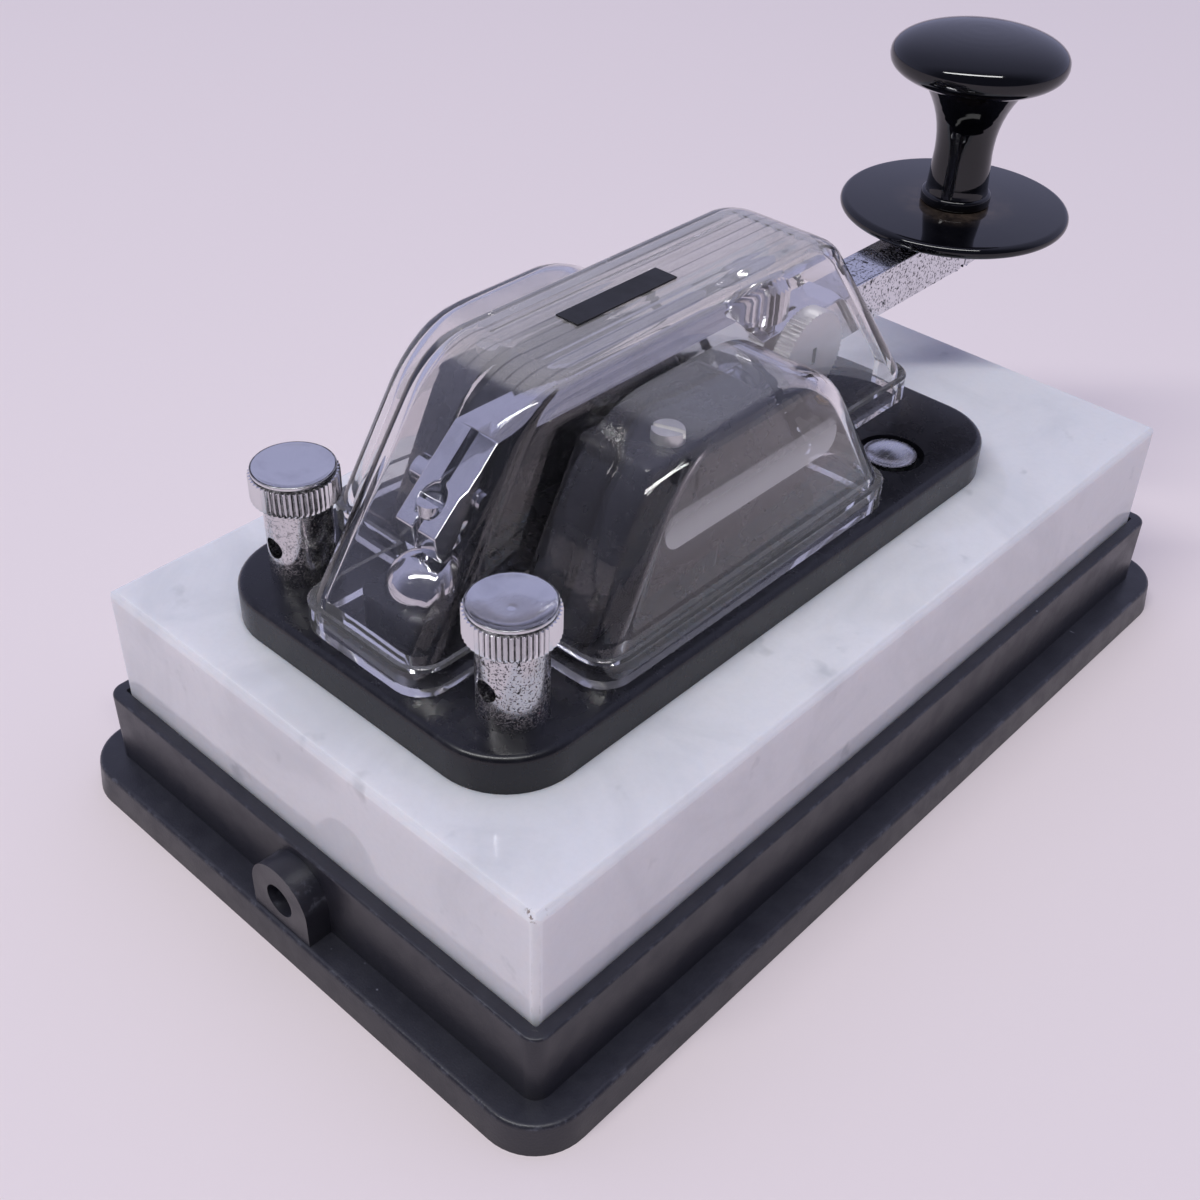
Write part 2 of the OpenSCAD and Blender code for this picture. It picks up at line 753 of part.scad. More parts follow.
module pillar_lock_screws() {
    reach = pillar_h - pivot_d / 2 - place_fit;
    color(chrome) for (x = [-1, 1]) translate([x * lock_x, pivot_y, deck + pillar_top]) difference() {
        union() {
            cylinder(d = lock_head, h = lock_h);
            shank(lock_d, reach);
        }
        translate([0, 0, lock_h / 2]) rotate(20) slot(lock_head + cut, slot_wide, lock_h);
    }
}

// Back stop under the lever's rear end
module back_stop_dome() {
    ball = (pow(dome_d / 2, 2) + pow(dome_h, 2)) / (2 * dome_h);
    color(chrome) translate([0, dome_y, deck + bed_t]) {
        intersection() {
            translate([0, 0, dome_h - ball]) sphere(r = ball);
            cylinder(r = ball, h = dome_h);
        }
        shank(shank_d, anchor_deep + plate_t + bed_t - 2 * cut);
    }
}

// Lower contact on the plate
module lower_contact() {
    foot_t = contact_d / 5;
    tip_h = contact_gap;
    color(brass) translate([0, contact_y, deck]) {
        cylinder(d = contact_d + 2 * foot_t, h = foot_t);
        cylinder(d = contact_d, h = post_top - tip_h);
        cylinder(d = tip_d, h = post_top);
        shank(shank_d, plate_t - cut / 2);
    }
}

module contact_nut() {
    color(brass) translate([0, contact_y, strap_z - nut_t]) hex_nut(shank_d + 2 * screw_fit);
}

// Return spring between its cup on the plate and its cap on the tension screw
cup_in = spring_d + wire + 2 * cup_fit;
cup_out = cup_in + 2 * cup_wall;
cap_low = lever_rise - cup_deep - 2 * cup_wall - cut / 2;
spring_low = deck + cup_wall;
spring_high = deck + cap_low + cup_deep;

module spring_seat() {
    difference() {
        cylinder(d = cup_out, h = cup_wall + cup_deep);
        translate([0, 0, cup_wall]) cylinder(d = cup_in, h = cup_deep + cut);
    }
}

module spring_cup() {
    color(chrome) translate([0, tension_y, deck]) {
        spring_seat();
        shank(tension_d, cup_deep - place_fit);
    }
}

// The spring's centre line: slow end turns, then an even climb between them
ring_steps = 8;
spring_sides = 6;
spring_rings = round(spring_turns * ring_steps);
end_turns = 0.75;
end_rise = wire * 1.5;
spring_from = spring_low + wire / 2 + place_fit;
spring_to = spring_high - wire / 2 - place_fit;
function spring_z(t) = let (turn = t * spring_turns, free = spring_turns - 2 * end_turns,
    low = spring_from + end_rise, high = spring_to - end_rise)
    turn < end_turns ? spring_from + end_rise * turn / end_turns
    : turn > spring_turns - end_turns ? spring_to - end_rise * (spring_turns - turn) / end_turns
    : low + (high - low) * (turn - end_turns) / free;
function spring_at(t) = let (a = 360 * spring_turns * t)
    [spring_d / 2 * cos(a), tension_y + spring_d / 2 * sin(a), spring_z(t)];
spring_line = [for (i = [0 : spring_rings]) spring_at(i / spring_rings)];
near = ring_steps / 2;
spring_gap = min([for (i = [0 : spring_rings], j = [0 : spring_rings]) if (j > i + near)
    norm(spring_line[i] - spring_line[j])]) - wire;
echo(spring_gap = spring_gap);  // return_spring

module return_spring() {
    points = [for (i = [0 : spring_rings])
        let (a = 360 * spring_turns * i / spring_rings, c = spring_line[i])
            for (s = [0 : spring_sides - 1]) let (b = 360 * s / spring_sides)
                c + wire / 2 * [cos(a) * cos(b), sin(a) * cos(b), sin(b)]];
    skin = [for (i = [0 : spring_rings - 1], s = [0 : spring_sides - 1])
        let (n = (s + 1) % spring_sides, p = i * spring_sides, q = p + spring_sides)
            each [[p + s, p + n, q + n], [p + s, q + n, q + s]]];
    first = [for (s = [1 : spring_sides - 2]) [0, s + 1, s]];
    end = spring_rings * spring_sides;
    final = [for (s = [1 : spring_sides - 2]) [end, end + s, end + s + 1]];
    color(chrome) polyhedron(points, concat(skin, first, final));
}

// Lever, raised in the middle and bent down at the rear
lever_side = [[lever_rear, rear_top], [bend_y, mid_top], [step_back, mid_top], [step_front, lever_top],
    [lever_front, lever_top], [lever_front, lever_rise], [step_front - step_under, lever_rise],
    [step_back - back_under, mid_low], [bend_y - bend_under, mid_low],
    [lever_rear - rear_slant, rear_top - rear_face]];

module lever_bar() {
    high = mid_top + cut;
    color(chrome) translate([0, 0, deck]) difference() {
        across(lever_w) polygon(lever_side);
        for (x = [-1, 1]) translate([x * lever_w / 2, pivot_y, pivot_rise]) rotate([0, -90 * x, 0])
            cylinder(r1 = point_l, r2 = 0, h = point_l);
        translate([-slit_w / 2, gap_clamp_y - gap_clamp_d, 0]) cube([slit_w, lever_rear, high]);
        translate([0, gap_y, 0]) cylinder(d = gap_d + 2 * screw_fit, h = high);
        translate([0, gap_y, gap_seat]) cylinder(d = gap_head + 4 * place_fit, h = high);
        translate([0, gap_clamp_y, gap_clamp_rise]) rotate([0, 90, 0])
            cylinder(d = gap_clamp_d + 2 * screw_fit, h = 2 * lever_w, center = true);
        translate([0, tension_y, 0]) cylinder(d = tension_d + 2 * screw_fit, h = high);
        translate([-slit_w / 2, wheel_y - slit_reach, 0])
            cube([slit_w, tension_y - wheel_y + slit_reach, high]);
        translate([0, wheel_y, wheel_rise]) rotate([0, 90, 0])
            cylinder(d = wheel_shank + 2 * screw_fit, h = 2 * lever_w, center = true);
        translate([0, contact_y, lever_rise - cut])
            cylinder(d = tip_d + 2 * screw_fit, h = lever_t / 2 + cut);
        translate([0, knob_y, 0]) cylinder(d = knob_screw_d + 2 * screw_fit, h = high);
        translate([0, knob_y, lever_rise - cut])
            cylinder(d = 2 * knob_screw_d + 2 * screw_fit, h = nut_t + cut);
    }
}

module upper_contact() {
    color(brass) translate([0, contact_y, deck]) {
        translate([0, 0, tip_low + contact_gap]) cylinder(d = contact_d, h = contact_head - contact_gap);
        translate([0, 0, tip_low]) cylinder(d = tip_d, h = contact_head + lever_t / 2 - place_fit);
    }
}

// Adjusting screws
module gap_screw() {
    tip = dome_top + stop_gap;
    color(chrome) translate([0, gap_y, deck]) difference() {
        union() {
            translate([0, 0, tip]) cylinder(d = gap_d, h = gap_seat - tip + cut);
            translate([0, 0, gap_seat]) cylinder(d = gap_head, h = gap_head_h);
        }
        translate([0, 0, gap_seat + gap_head_h / 2]) slot(gap_head + cut, slot_wide, gap_head_h);
    }
}

module gap_clamp_screw() {
    color(chrome) translate([0, gap_clamp_y, deck + gap_clamp_rise]) rotate([0, 90, 0]) difference() {
        union() {
            translate([0, 0, lever_w / 2]) cylinder(d = gap_clamp_head, h = gap_clamp_h);
            translate([0, 0, -lever_w / 2 - cut]) cylinder(d = gap_clamp_d, h = lever_w + 2 * cut);
        }
        translate([0, 0, lever_w / 2 + gap_clamp_h / 2]) slot(gap_clamp_head + cut, slot_wide, gap_clamp_h);
    }
}

module tension_screw() {
    knob_from = lever_top + tension_neck;
    low = cap_low + cup_deep + cup_wall;
    r = tension_knob_d / 2;
    color(chrome) translate([0, tension_y, deck]) {
        translate([0, 0, low]) cylinder(d = tension_d, h = knob_from - low);
        translate([0, 0, lever_top + place_fit]) cylinder(d = tension_neck_d, h = tension_neck - place_fit);
        translate([0, 0, knob_from]) intersection() {
            linear_extrude(tension_knob_h) polygon(knurl_outline(tension_knob_d, wheel_teeth / 2));
            rotate_extrude() polygon([[0, 0], [r - cut / 2, 0], [r, cut / 2], [r, tension_knob_h - cut],
                [r - cut, tension_knob_h], [0, tension_knob_h]]);
        }
    }
}

module spring_cap() {
    color(chrome) translate([0, tension_y, deck + cap_low + cup_deep + cup_wall])
        mirror([0, 0, 1]) spring_seat();
}

module clamp_wheel() {
    face = lever_w / 2 + wheel_hub + wheel_t;
    color(chrome) translate([0, wheel_y, deck + wheel_rise]) rotate([0, -90, 0]) difference() {
        union() {
            translate([0, 0, lever_w / 2 + place_fit]) cylinder(d = wheel_d / 2, h = wheel_hub);
            translate([0, 0, lever_w / 2 + wheel_hub]) linear_extrude(wheel_t)
                polygon(knurl_outline(wheel_d, wheel_teeth));
            translate([0, 0, -lever_w / 2]) cylinder(d = wheel_shank, h = lever_w + wheel_hub);
        }
        translate([0, 0, face - wheel_t / 3]) slot(wheel_shank, wheel_shank / 3, wheel_t);
    }
}

// Finger knob
module knob_boss() {
    color(black) translate([0, knob_y, deck + lever_top]) difference() {
        cylinder(d = boss_d, h = boss_t);
        translate([0, 0, -cut]) cylinder(d = knob_screw_d + 2 * screw_fit, h = boss_t + 2 * cut);
    }
}

module knob_skirt() {
    edge = skirt_t / 2;
    hole = knob_screw_d / 2 + screw_fit;
    color(black) translate([0, knob_y, deck + skirt_low]) rotate_extrude($fn = 96)
        polygon(concat([[hole, skirt_t], [hole, 0]], arc(skirt_d / 2 - edge, edge, edge, -90, 90, 10)));
}

// The stem flares to the cap as a power of its height, and the cap is a flattened oval
stem_from = foot_h + cut;
stem_to = knob_h - cap_h + cut;
flare = 2.4;
oval = 2.3;
function stem_r(z) = z < stem_waist
    ? stem_d / 2 + stem_spread * (stem_waist - z) / (stem_waist - stem_from)
    : stem_d / 2 + (stem_top_d - stem_d) / 2 * pow((z - stem_waist) / (stem_to - stem_waist), flare);
function cap_point(a) = [cap_d / 2 * pow(cos(a), 2 / oval),
    knob_h - cap_h / 2 + cap_h / 2 * sign(sin(a)) * pow(abs(sin(a)), 2 / oval)];
stem_steps = 12;
cap_steps = 18;
cap_join = -58;
foot_round = 0.6;

module knob() {
    foot_side = concat(arc(knob_foot / 2 - foot_round, foot_round, foot_round, -90, 0, 4),
        arc(knob_foot / 2 - foot_round, foot_h - foot_round, foot_round, 0, 90, 4));
    stem_side = [for (i = [0 : stem_steps]) let (z = stem_from + (stem_to - stem_from) * i / stem_steps)
        [stem_r(z), z]];
    cap_side = [for (i = [0 : cap_steps - 1]) cap_point(cap_join + (90 - cap_join) * i / cap_steps)];
    color(black) translate([0, knob_y, deck + knob_low]) difference() {
        rotate_extrude($fn = 96)
            polygon(concat([[0, 0]], foot_side, stem_side, cap_side, [[0, knob_h]]));
        translate([0, 0, -cut]) cylinder(d = knob_screw_d + 2 * screw_fit, h = knob_hole + cut);
    }
}

module knob_screw() {
    color(chrome) translate([0, knob_y, deck]) difference() {
        union() {
            translate([0, 0, lever_rise]) cylinder(d = 2 * knob_screw_d, h = nut_t);
            translate([0, 0, knob_low + knob_hole - cut])
                shank(knob_screw_d, knob_low + knob_hole - cut - lever_rise - nut_t / 2);
        }
        translate([0, 0, lever_rise + nut_t / 3]) rotate([180, 0, 0]) slot(3 * knob_screw_d, cut, nut_t);
    }
}

// Dust cover: two lofted blocks over the same band, hollowed by two smaller ones.
// A block is [half width, front, rear, height, lean, front slope, front radius, rear slope, rear radius,
// radius along its top edges, plan radius of its corners].
corner_steps = 7;
crown_steps = 9;
body_block = [body_x - band_out, body_front + band_out, body_rear - band_out, cover_h, body_lean,
    body_front_slope, body_front_r, body_rear_slope, body_rear_r, body_side_r, cover_r];
hump_block = [hump_x - band_out, hump_front + band_out, hump_rear - band_out, hump_top, hump_lean,
    hump_front_slope, hump_front_r, hump_rear_slope, hump_rear_r, hump_side_r, cover_r];

// The same block drawn in all round by the thickness of its walls
least_r = 0.4;
function thinner(b, wall) = [b[0] - wall, b[1] + wall / sin(b[5]), b[2] - wall / sin(b[7]), b[3] - wall,
    b[4], b[5], b[6] - wall, b[7], b[8] - wall, max(least_r, b[9] - wall), b[10] - wall];

// How far a round of radius r under the top draws a side in at height z
function round_in(z, high, r) = let (t = max(0, (z - high + r) / r)) r * (1 - sqrt(max(0, 1 - t * t)));

// How far an end has run in at height z: a straight slope, then an arc that meets the flat top
function slope_in(z, high, slope, r) = let (turn = high - r * (1 - cos(slope)))
    z <= turn ? (z - band_h) / tan(slope)
    : (turn - band_h) / tan(slope) + r * sin(slope) - sqrt(max(0, pow(r, 2) - pow(z - high + r, 2)));

function block_ring(b, z) =
    let (side = b[0] - b[4] * (z - band_h) / (b[3] - band_h) - round_in(z, b[3], b[9]))
    [side, b[1] + slope_in(z, b[3], b[5], b[6]), b[2] - slope_in(z, b[3], b[7], b[8]), b[10], z];

// Rings from the foot up: straight through the band, and close together where it turns over to its top
function block_rings(b, low) = let (foot = block_ring(b, band_h),
    crown = max(b[6] * (1 - cos(b[5])), b[8] * (1 - cos(b[7]))))
    concat([[foot[0], foot[1], foot[2], foot[3], low], foot],
        [for (i = [0 : crown_steps]) block_ring(b, b[3] - crown * (1 - sin(90 * i / crown_steps)))]);

module band(half, front, rear) {
    bevel = band_out / 3;
    loft([[half, front, rear, band_r, 0], [half, front, rear, band_r, band_h - bevel],
        [half - bevel, front + bevel, rear - bevel, band_r - bevel, band_h]], corner_steps);
}

module cover_slot() {
    high = lever_top + slot_over;
    translate([0, body_front - cut, 0]) rotate([90, 0, 180]) linear_extrude(slot_deep) {
        translate([-slot_w / 2, -cut]) square([slot_w, high - slot_r + cut]);
        translate([slot_r - slot_w / 2, -cut]) square([slot_w - 2 * slot_r, high + cut]);
        for (x = [-1, 1]) translate([x * (slot_w / 2 - slot_r), high - slot_r]) circle(slot_r);
    }
}

// A shallow V cut along the cover's flat top, with the top at the origin
module flute(l) {
    rotate([90, 0, 0]) linear_extrude(l, center = true)
        polygon([[0, -flute_deep], [flute_w, flute_deep], [-flute_w, flute_deep]]);
}

module dust_cover() {
    flat_from = body_block[1] + slope_in(cover_h, cover_h, body_front_slope, body_front_r);
    flat_to = body_block[2] - slope_in(cover_h, cover_h, body_rear_slope, body_rear_r);
    color(clear) translate([0, 0, cover_low]) difference() {
        union() {
            band(body_x, body_front, body_rear);
            band(hump_x, hump_front, hump_rear);
            loft(block_rings(body_block, band_h / 2), corner_steps);
            loft(block_rings(hump_block, band_h / 2), corner_steps);
        }
        loft(block_rings(thinner(body_block, cover_wall), -cut), corner_steps);
        loft(block_rings(thinner(hump_block, cover_wall), -cut), corner_steps);
        cover_slot();
        for (i = [0 : flutes - 1])
            translate([(i - (flutes - 1) / 2) * flute_pitch, (flat_from + flat_to) / 2, cover_h])
                flute(flat_to - flat_from);
    }
}

module cover_label() {
    color(black) translate([-label_w / 2, label_y - label_l / 2, cover_low + cover_h])
        cube([label_w, label_l, label_t]);
}

base_tray();
marble_slab();
stone_anchors();
key_plate();
plate_screws();
terminal_posts();
terminal_head_left();
terminal_head_right();
terminal_nuts();
contact_strap();
pivot_strap();
frame_bed();
pivot_pillar_left();
pivot_pillar_right();
pillar_screws();
pivot_screw_left();
pivot_screw_right();
pillar_lock_screws();
back_stop_dome();
lower_contact();
contact_nut();
spring_cup();
return_spring();
lever_bar();
upper_contact();
gap_screw();
gap_clamp_screw();
tension_screw();
spring_cap();
clamp_wheel();
knob_boss();
knob_skirt();
knob();
knob_screw();
dust_cover();
cover_label();
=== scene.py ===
"""Looks of a straight telegraph key on a marble slab, with a clear dust cover.

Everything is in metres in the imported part's own frame: +Z up, the knob at -Y, the wire terminals at +Y.
"""

import logging
import math
from dataclasses import dataclass
from enum import Enum
from typing import Any, Sequence

import bpy
import numpy as np
from mathutils import Matrix, Vector

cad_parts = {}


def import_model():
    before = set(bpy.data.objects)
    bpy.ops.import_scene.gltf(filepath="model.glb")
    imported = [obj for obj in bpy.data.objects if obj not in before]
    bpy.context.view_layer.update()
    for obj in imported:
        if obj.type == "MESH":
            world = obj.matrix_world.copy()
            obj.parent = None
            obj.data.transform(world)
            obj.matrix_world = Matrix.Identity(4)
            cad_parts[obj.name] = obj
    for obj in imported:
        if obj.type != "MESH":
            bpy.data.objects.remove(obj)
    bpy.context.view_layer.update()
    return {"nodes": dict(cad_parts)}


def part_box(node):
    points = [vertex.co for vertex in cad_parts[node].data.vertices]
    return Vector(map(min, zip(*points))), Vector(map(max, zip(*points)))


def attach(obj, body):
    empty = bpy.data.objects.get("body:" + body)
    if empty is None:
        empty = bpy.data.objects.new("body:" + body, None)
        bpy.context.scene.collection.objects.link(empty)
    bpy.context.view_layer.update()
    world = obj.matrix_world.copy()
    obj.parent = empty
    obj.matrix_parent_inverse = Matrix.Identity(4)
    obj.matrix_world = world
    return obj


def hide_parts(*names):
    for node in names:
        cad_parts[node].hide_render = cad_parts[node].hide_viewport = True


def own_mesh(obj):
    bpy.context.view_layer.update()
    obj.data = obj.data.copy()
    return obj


LOG = logging.getLogger("telegraph_key")
MM = 0.001
Span = tuple[float, float]
Triple = tuple[float, float, float]
Colour = Triple
Socket = bpy.types.NodeSocket
Value = Socket | float | Triple


class Feature(Enum):
    """Which measure of a cell pattern is read."""

    NEAREST = "F1"
    EDGE = "DISTANCE_TO_EDGE"


class Axis(Enum):
    """One of the object's own axes."""

    X = "X"
    Y = "Y"
    Z = "Z"


class Side(Enum):
    """A side of the key, in its nodes' own words."""

    LEFT = "left"
    RIGHT = "right"


class Sum(Enum):
    """What a node works out from one or two numbers."""

    ADD = "ADD"
    SUBTRACT = "SUBTRACT"
    MULTIPLY = "MULTIPLY"
    SMALLER = "MINIMUM"
    LARGER = "MAXIMUM"
    SIZE = "ABSOLUTE"
    ROOT = "SQRT"
    COSINE = "COSINE"


class Graph:
    """A node tree, with short calls for the nodes that the finishes and the sky share."""

    def __init__(self, owner: bpy.types.Material | bpy.types.World, coords: str = "Object") -> None:
        """Empties the owner's tree.

        Args:
            owner: the material or world that holds the tree.
            coords: the texture coordinate that patterns follow.
        """
        owner.use_nodes = True
        self.owner = owner
        self.tree = owner.node_tree
        self.tree.nodes.clear()
        self.coords: Socket = self.add("ShaderNodeTexCoord").outputs[coords]

    @classmethod
    def finish(cls, name: str) -> "Graph":
        """The tree of a new material of that name."""
        return cls(bpy.data.materials.new(name))

    def add(self, kind: str, **settings: Any) -> bpy.types.Node:
        """Adds a node and sets its own properties.

        Args:
            kind: the node's type.
            **settings: a value for each property.

        Returns:
            The new node.
        """
        node = self.tree.nodes.new(kind)
        for key, value in settings.items():
            setattr(node, key, value)
        return node

    def put(self, socket: Socket, value: Value) -> None:
        """Links a socket to another one, or sets it to a plain value.

        Args:
            socket: the input to feed.
            value: an output, a number or a tuple.
        """
        if isinstance(value, bpy.types.NodeSocket):
            self.tree.links.new(value, socket)
        elif isinstance(value, tuple) and len(value) == 3 and socket.type == "RGBA":
            socket.default_value = (*value, 1.0)
        else:
            socket.default_value = value

    def stretched(self, scale: Triple, turn: Triple = (0.0, 0.0, 0.0)) -> Socket:
        """Coordinates, turned and stretched.

        Args:
            scale: factor along each axis.
            turn: rotation about each axis, in radians.

        Returns:
            The vector socket of the mapped coordinates.
        """
        node = self.add("ShaderNodeMapping")
        self.put(node.inputs["Vector"], self.coords)
        self.put(node.inputs["Rotation"], turn)
        self.put(node.inputs["Scale"], scale)
        return node.outputs["Vector"]

    def noise(self, scale: float, detail: float = 3.0, rough: float = 0.5, bend: float = 0.0,
              vector: Socket | None = None) -> Socket:
        """Soft noise with a value near 0.5.

        Args:
            scale: cycles to the metre.
            detail: number of finer layers.
            rough: weight of the finer layers.
            bend: how far the pattern is bent.
            vector: coordinates to follow in place of the object's own.

        Returns:
            The value's socket.
        """
        node = self.add("ShaderNodeTexNoise")
        self.put(node.inputs["Vector"], vector or self.coords)
        settings = {"Scale": scale, "Detail": detail, "Roughness": rough, "Distortion": bend}
        for key, value in settings.items():
            self.put(node.inputs[key], value)
        return node.outputs["Fac"]

    def cells(self, scale: float, feature: Feature = Feature.NEAREST) -> Socket:
        """Distance in a pattern of random cells.

        Args:
            scale: cells to the metre.
            feature: what the distance is measured to.

        Returns:
            The distance's socket, in cells.
        """
        node = self.add("ShaderNodeTexVoronoi", feature=feature.value)
        self.put(node.inputs["Vector"], self.coords)
        self.put(node.inputs["Scale"], scale)
        return node.outputs["Distance"]

    def fade(self, value: Socket, low: float, high: float, start: float = 0.0, end: float = 1.0) -> Socket:
        """A smooth step of a value.

        Args:
            value: what is stepped.
            low: where the step begins.
            high: where it ends.
            start: the result below low.
            end: the result above high.

        Returns:
            The result's socket.
        """
        node = self.add("ShaderNodeMapRange", interpolation_type="SMOOTHSTEP")
        settings = {"Value": value, "From Min": low, "From Max": high, "To Min": start, "To Max": end}
        for key, number in settings.items():
            self.put(node.inputs[key], number)
        return node.outputs["Result"]

    def math(self, kind: Sum, a: Value, b: Value = 0.0) -> Socket:
        """One sum of numbers or sockets.

        Args:
            kind: what is worked out.
            a: the first number or socket.
            b: the second one, which some sums don't read.

        Returns:
            The result's socket.
        """
        node = self.add("ShaderNodeMath", operation=kind.value)
        self.put(node.inputs[0], a)
        self.put(node.inputs[1], b)
        return node.outputs[0]

    def times(self, *parts: Value) -> Socket:
        """The product of several numbers or sockets.

        Args:
            *parts: the factors.

        Returns:
            The product's socket.
        """
        total = parts[0]
        for part in parts[1:]:
            total = self.math(Sum.MULTIPLY, total, part)
        return total

    def axis(self, axis: Axis) -> Socket:
        """The coordinate along one axis.

        Args:
            axis: the axis.

        Returns:
            The coordinate's socket, in metres.
        """
        node = self.add("ShaderNodeSeparateXYZ")
        self.put(node.inputs[0], self.coords)
        return node.outputs[axis.value]

    def away(self, axis: Axis, middle: float) -> Socket:
        """Distance along one axis from a middle."""
        return self.math(Sum.SIZE, self.math(Sum.SUBTRACT, self.axis(axis), middle))

    def along(self, direction: Triple) -> Socket:
        """The coordinate along any direction.

        Args:
            direction: a vector of length 1.

        Returns:
            The coordinate's socket.
        """
        node = self.add("ShaderNodeVectorMath", operation="DOT_PRODUCT")
        self.put(node.inputs[0], self.coords)
        self.put(node.inputs[1], direction)
        return node.outputs["Value"]

    def around(self, x: float, y: float) -> Socket:
        """Distance from an upright line.

        Args:
            x: the line's place along X.
            y: the line's place along Y.

        Returns:
            The distance's socket, in metres.
        """
        node = self.add("ShaderNodeVectorMath", operation="DISTANCE")
        self.put(node.inputs[0], self.stretched((1.0, 1.0, 0.0)))
        self.put(node.inputs[1], (x, y, 0.0))
        return node.outputs["Value"]

    def looks_up(self) -> Socket:
        """How far a face looks up.

        Returns:
            A socket that is 1 on a level top and 0 on an upright side.
        """
        node = self.add("ShaderNodeSeparateXYZ")
        self.put(node.inputs[0], self.add("ShaderNodeNewGeometry").outputs["Normal"])
        return node.outputs["Z"]

    def mix(self, share: Value, a: Value, b: Value) -> Socket:
        """A blend of two colours.

        Args:
            share: the share of the second colour, from 0 to 1.
            a: the first colour.
            b: the second colour.

        Returns:
            The blend's socket.
        """
        # The node keeps sockets for every kind of data; these numbers are the colour ones
        node = self.add("ShaderNodeMix", data_type="RGBA")
        self.put(node.inputs[0], share)
        self.put(node.inputs[6], a)
        self.put(node.inputs[7], b)
        return node.outputs[2]

    def bump(self, height: Socket, depth: float, strength: float = 1.0) -> Socket:
        """A normal that follows a height.

        Args:
            height: the height, from 0 to 1.
            depth: what a height of 1 stands for, in metres.
            strength: the share of the effect.

        Returns:
            The normal's socket.
        """
        node = self.add("ShaderNodeBump")
        self.put(node.inputs["Height"], height)
        self.put(node.inputs["Distance"], depth)
        self.put(node.inputs["Strength"], strength)
        return node.outputs["Normal"]

    def shade(self, **sockets: Value) -> bpy.types.Node:
        """The main shader; a socket's name has _ for each space.

        Args:
            **sockets: a value or a socket for each of the shader's inputs.

        Returns:
            The shader's node, joined to a new output.
        """
        node = self.add("ShaderNodeBsdfPrincipled")
        for key, value in sockets.items():
            self.put(node.inputs[key.replace("_", " ")], value)
        self.show(node.outputs[0])
        return node

    def show(self, surface: Socket) -> None:
        """Joins a shader to the tree's one output.

        Args:
            surface: the shader's socket.
        """
        kind = "World" if isinstance(self.owner, bpy.types.World) else "Material"
        ends = [node for node in self.tree.nodes if node.bl_idname == f"ShaderNodeOutput{kind}"]
        end = ends[0] if ends else self.add(f"ShaderNodeOutput{kind}")
        self.put(end.inputs["Surface"], surface)


@dataclass(frozen=True)
class Mottle:
    """Soft noise cut to a smooth step: start where the noise is under low, end where it is over high.

    scale is in cycles to the metre; detail, rough and bend are the noise's own settings.
    """

    scale: float
    low: float
    high: float
    start: float = 0.0
    end: float = 1.0
    detail: float = 3.0
    rough: float = 0.5
    bend: float = 0.0

    def mask(self, g: Graph, vector: Socket | None = None, span: Span | None = None) -> Socket:
        """The step's value at each point.

        Args:
            g: the finish's tree.
            vector: coordinates to follow in place of the object's own.
            span: values to use in place of start and end.

        Returns:
            The value's socket.
        """
        noise = g.noise(self.scale, self.detail, self.rough, self.bend, vector)
        return g.fade(noise, self.low, self.high, *(span or (self.start, self.end)))


@dataclass(frozen=True)
class Zone:
    """A stretch along one axis: 1 inside it, fading to rest outside."""

    axis: Axis
    low: float
    high: float
    rest: float = 0.0
    blur: float = 4.0 * MM

    def mask(self, g: Graph) -> Socket:
        """The zone's share at each point.

        Args:
            g: the finish's tree.

        Returns:
            The share's socket.
        """
        place = g.axis(self.axis)
        inside = g.times(g.fade(place, self.low - self.blur, self.low),
                         g.fade(place, self.high, self.high + self.blur, 1.0, 0.0))
        return g.math(Sum.LARGER, inside, self.rest)


@dataclass(frozen=True)
class Ring:
    """A ring about an upright axis: 1 from the hole to the inner radius, fading to 0 at the outer one."""

    x: float
    y: float
    inner: float
    outer: float
    hole: float = -1.0
    blur: float = 0.03 * MM

    def mask(self, g: Graph) -> Socket:
        """The ring's share at each point.

        Args:
            g: the finish's tree.

        Returns:
            The share's socket.
        """
        reach = g.around(self.x, self.y)
        solid = g.fade(reach, self.inner, self.outer, 1.0, 0.0)
        return g.times(solid, g.fade(reach, self.hole - self.blur, self.hole + self.blur))


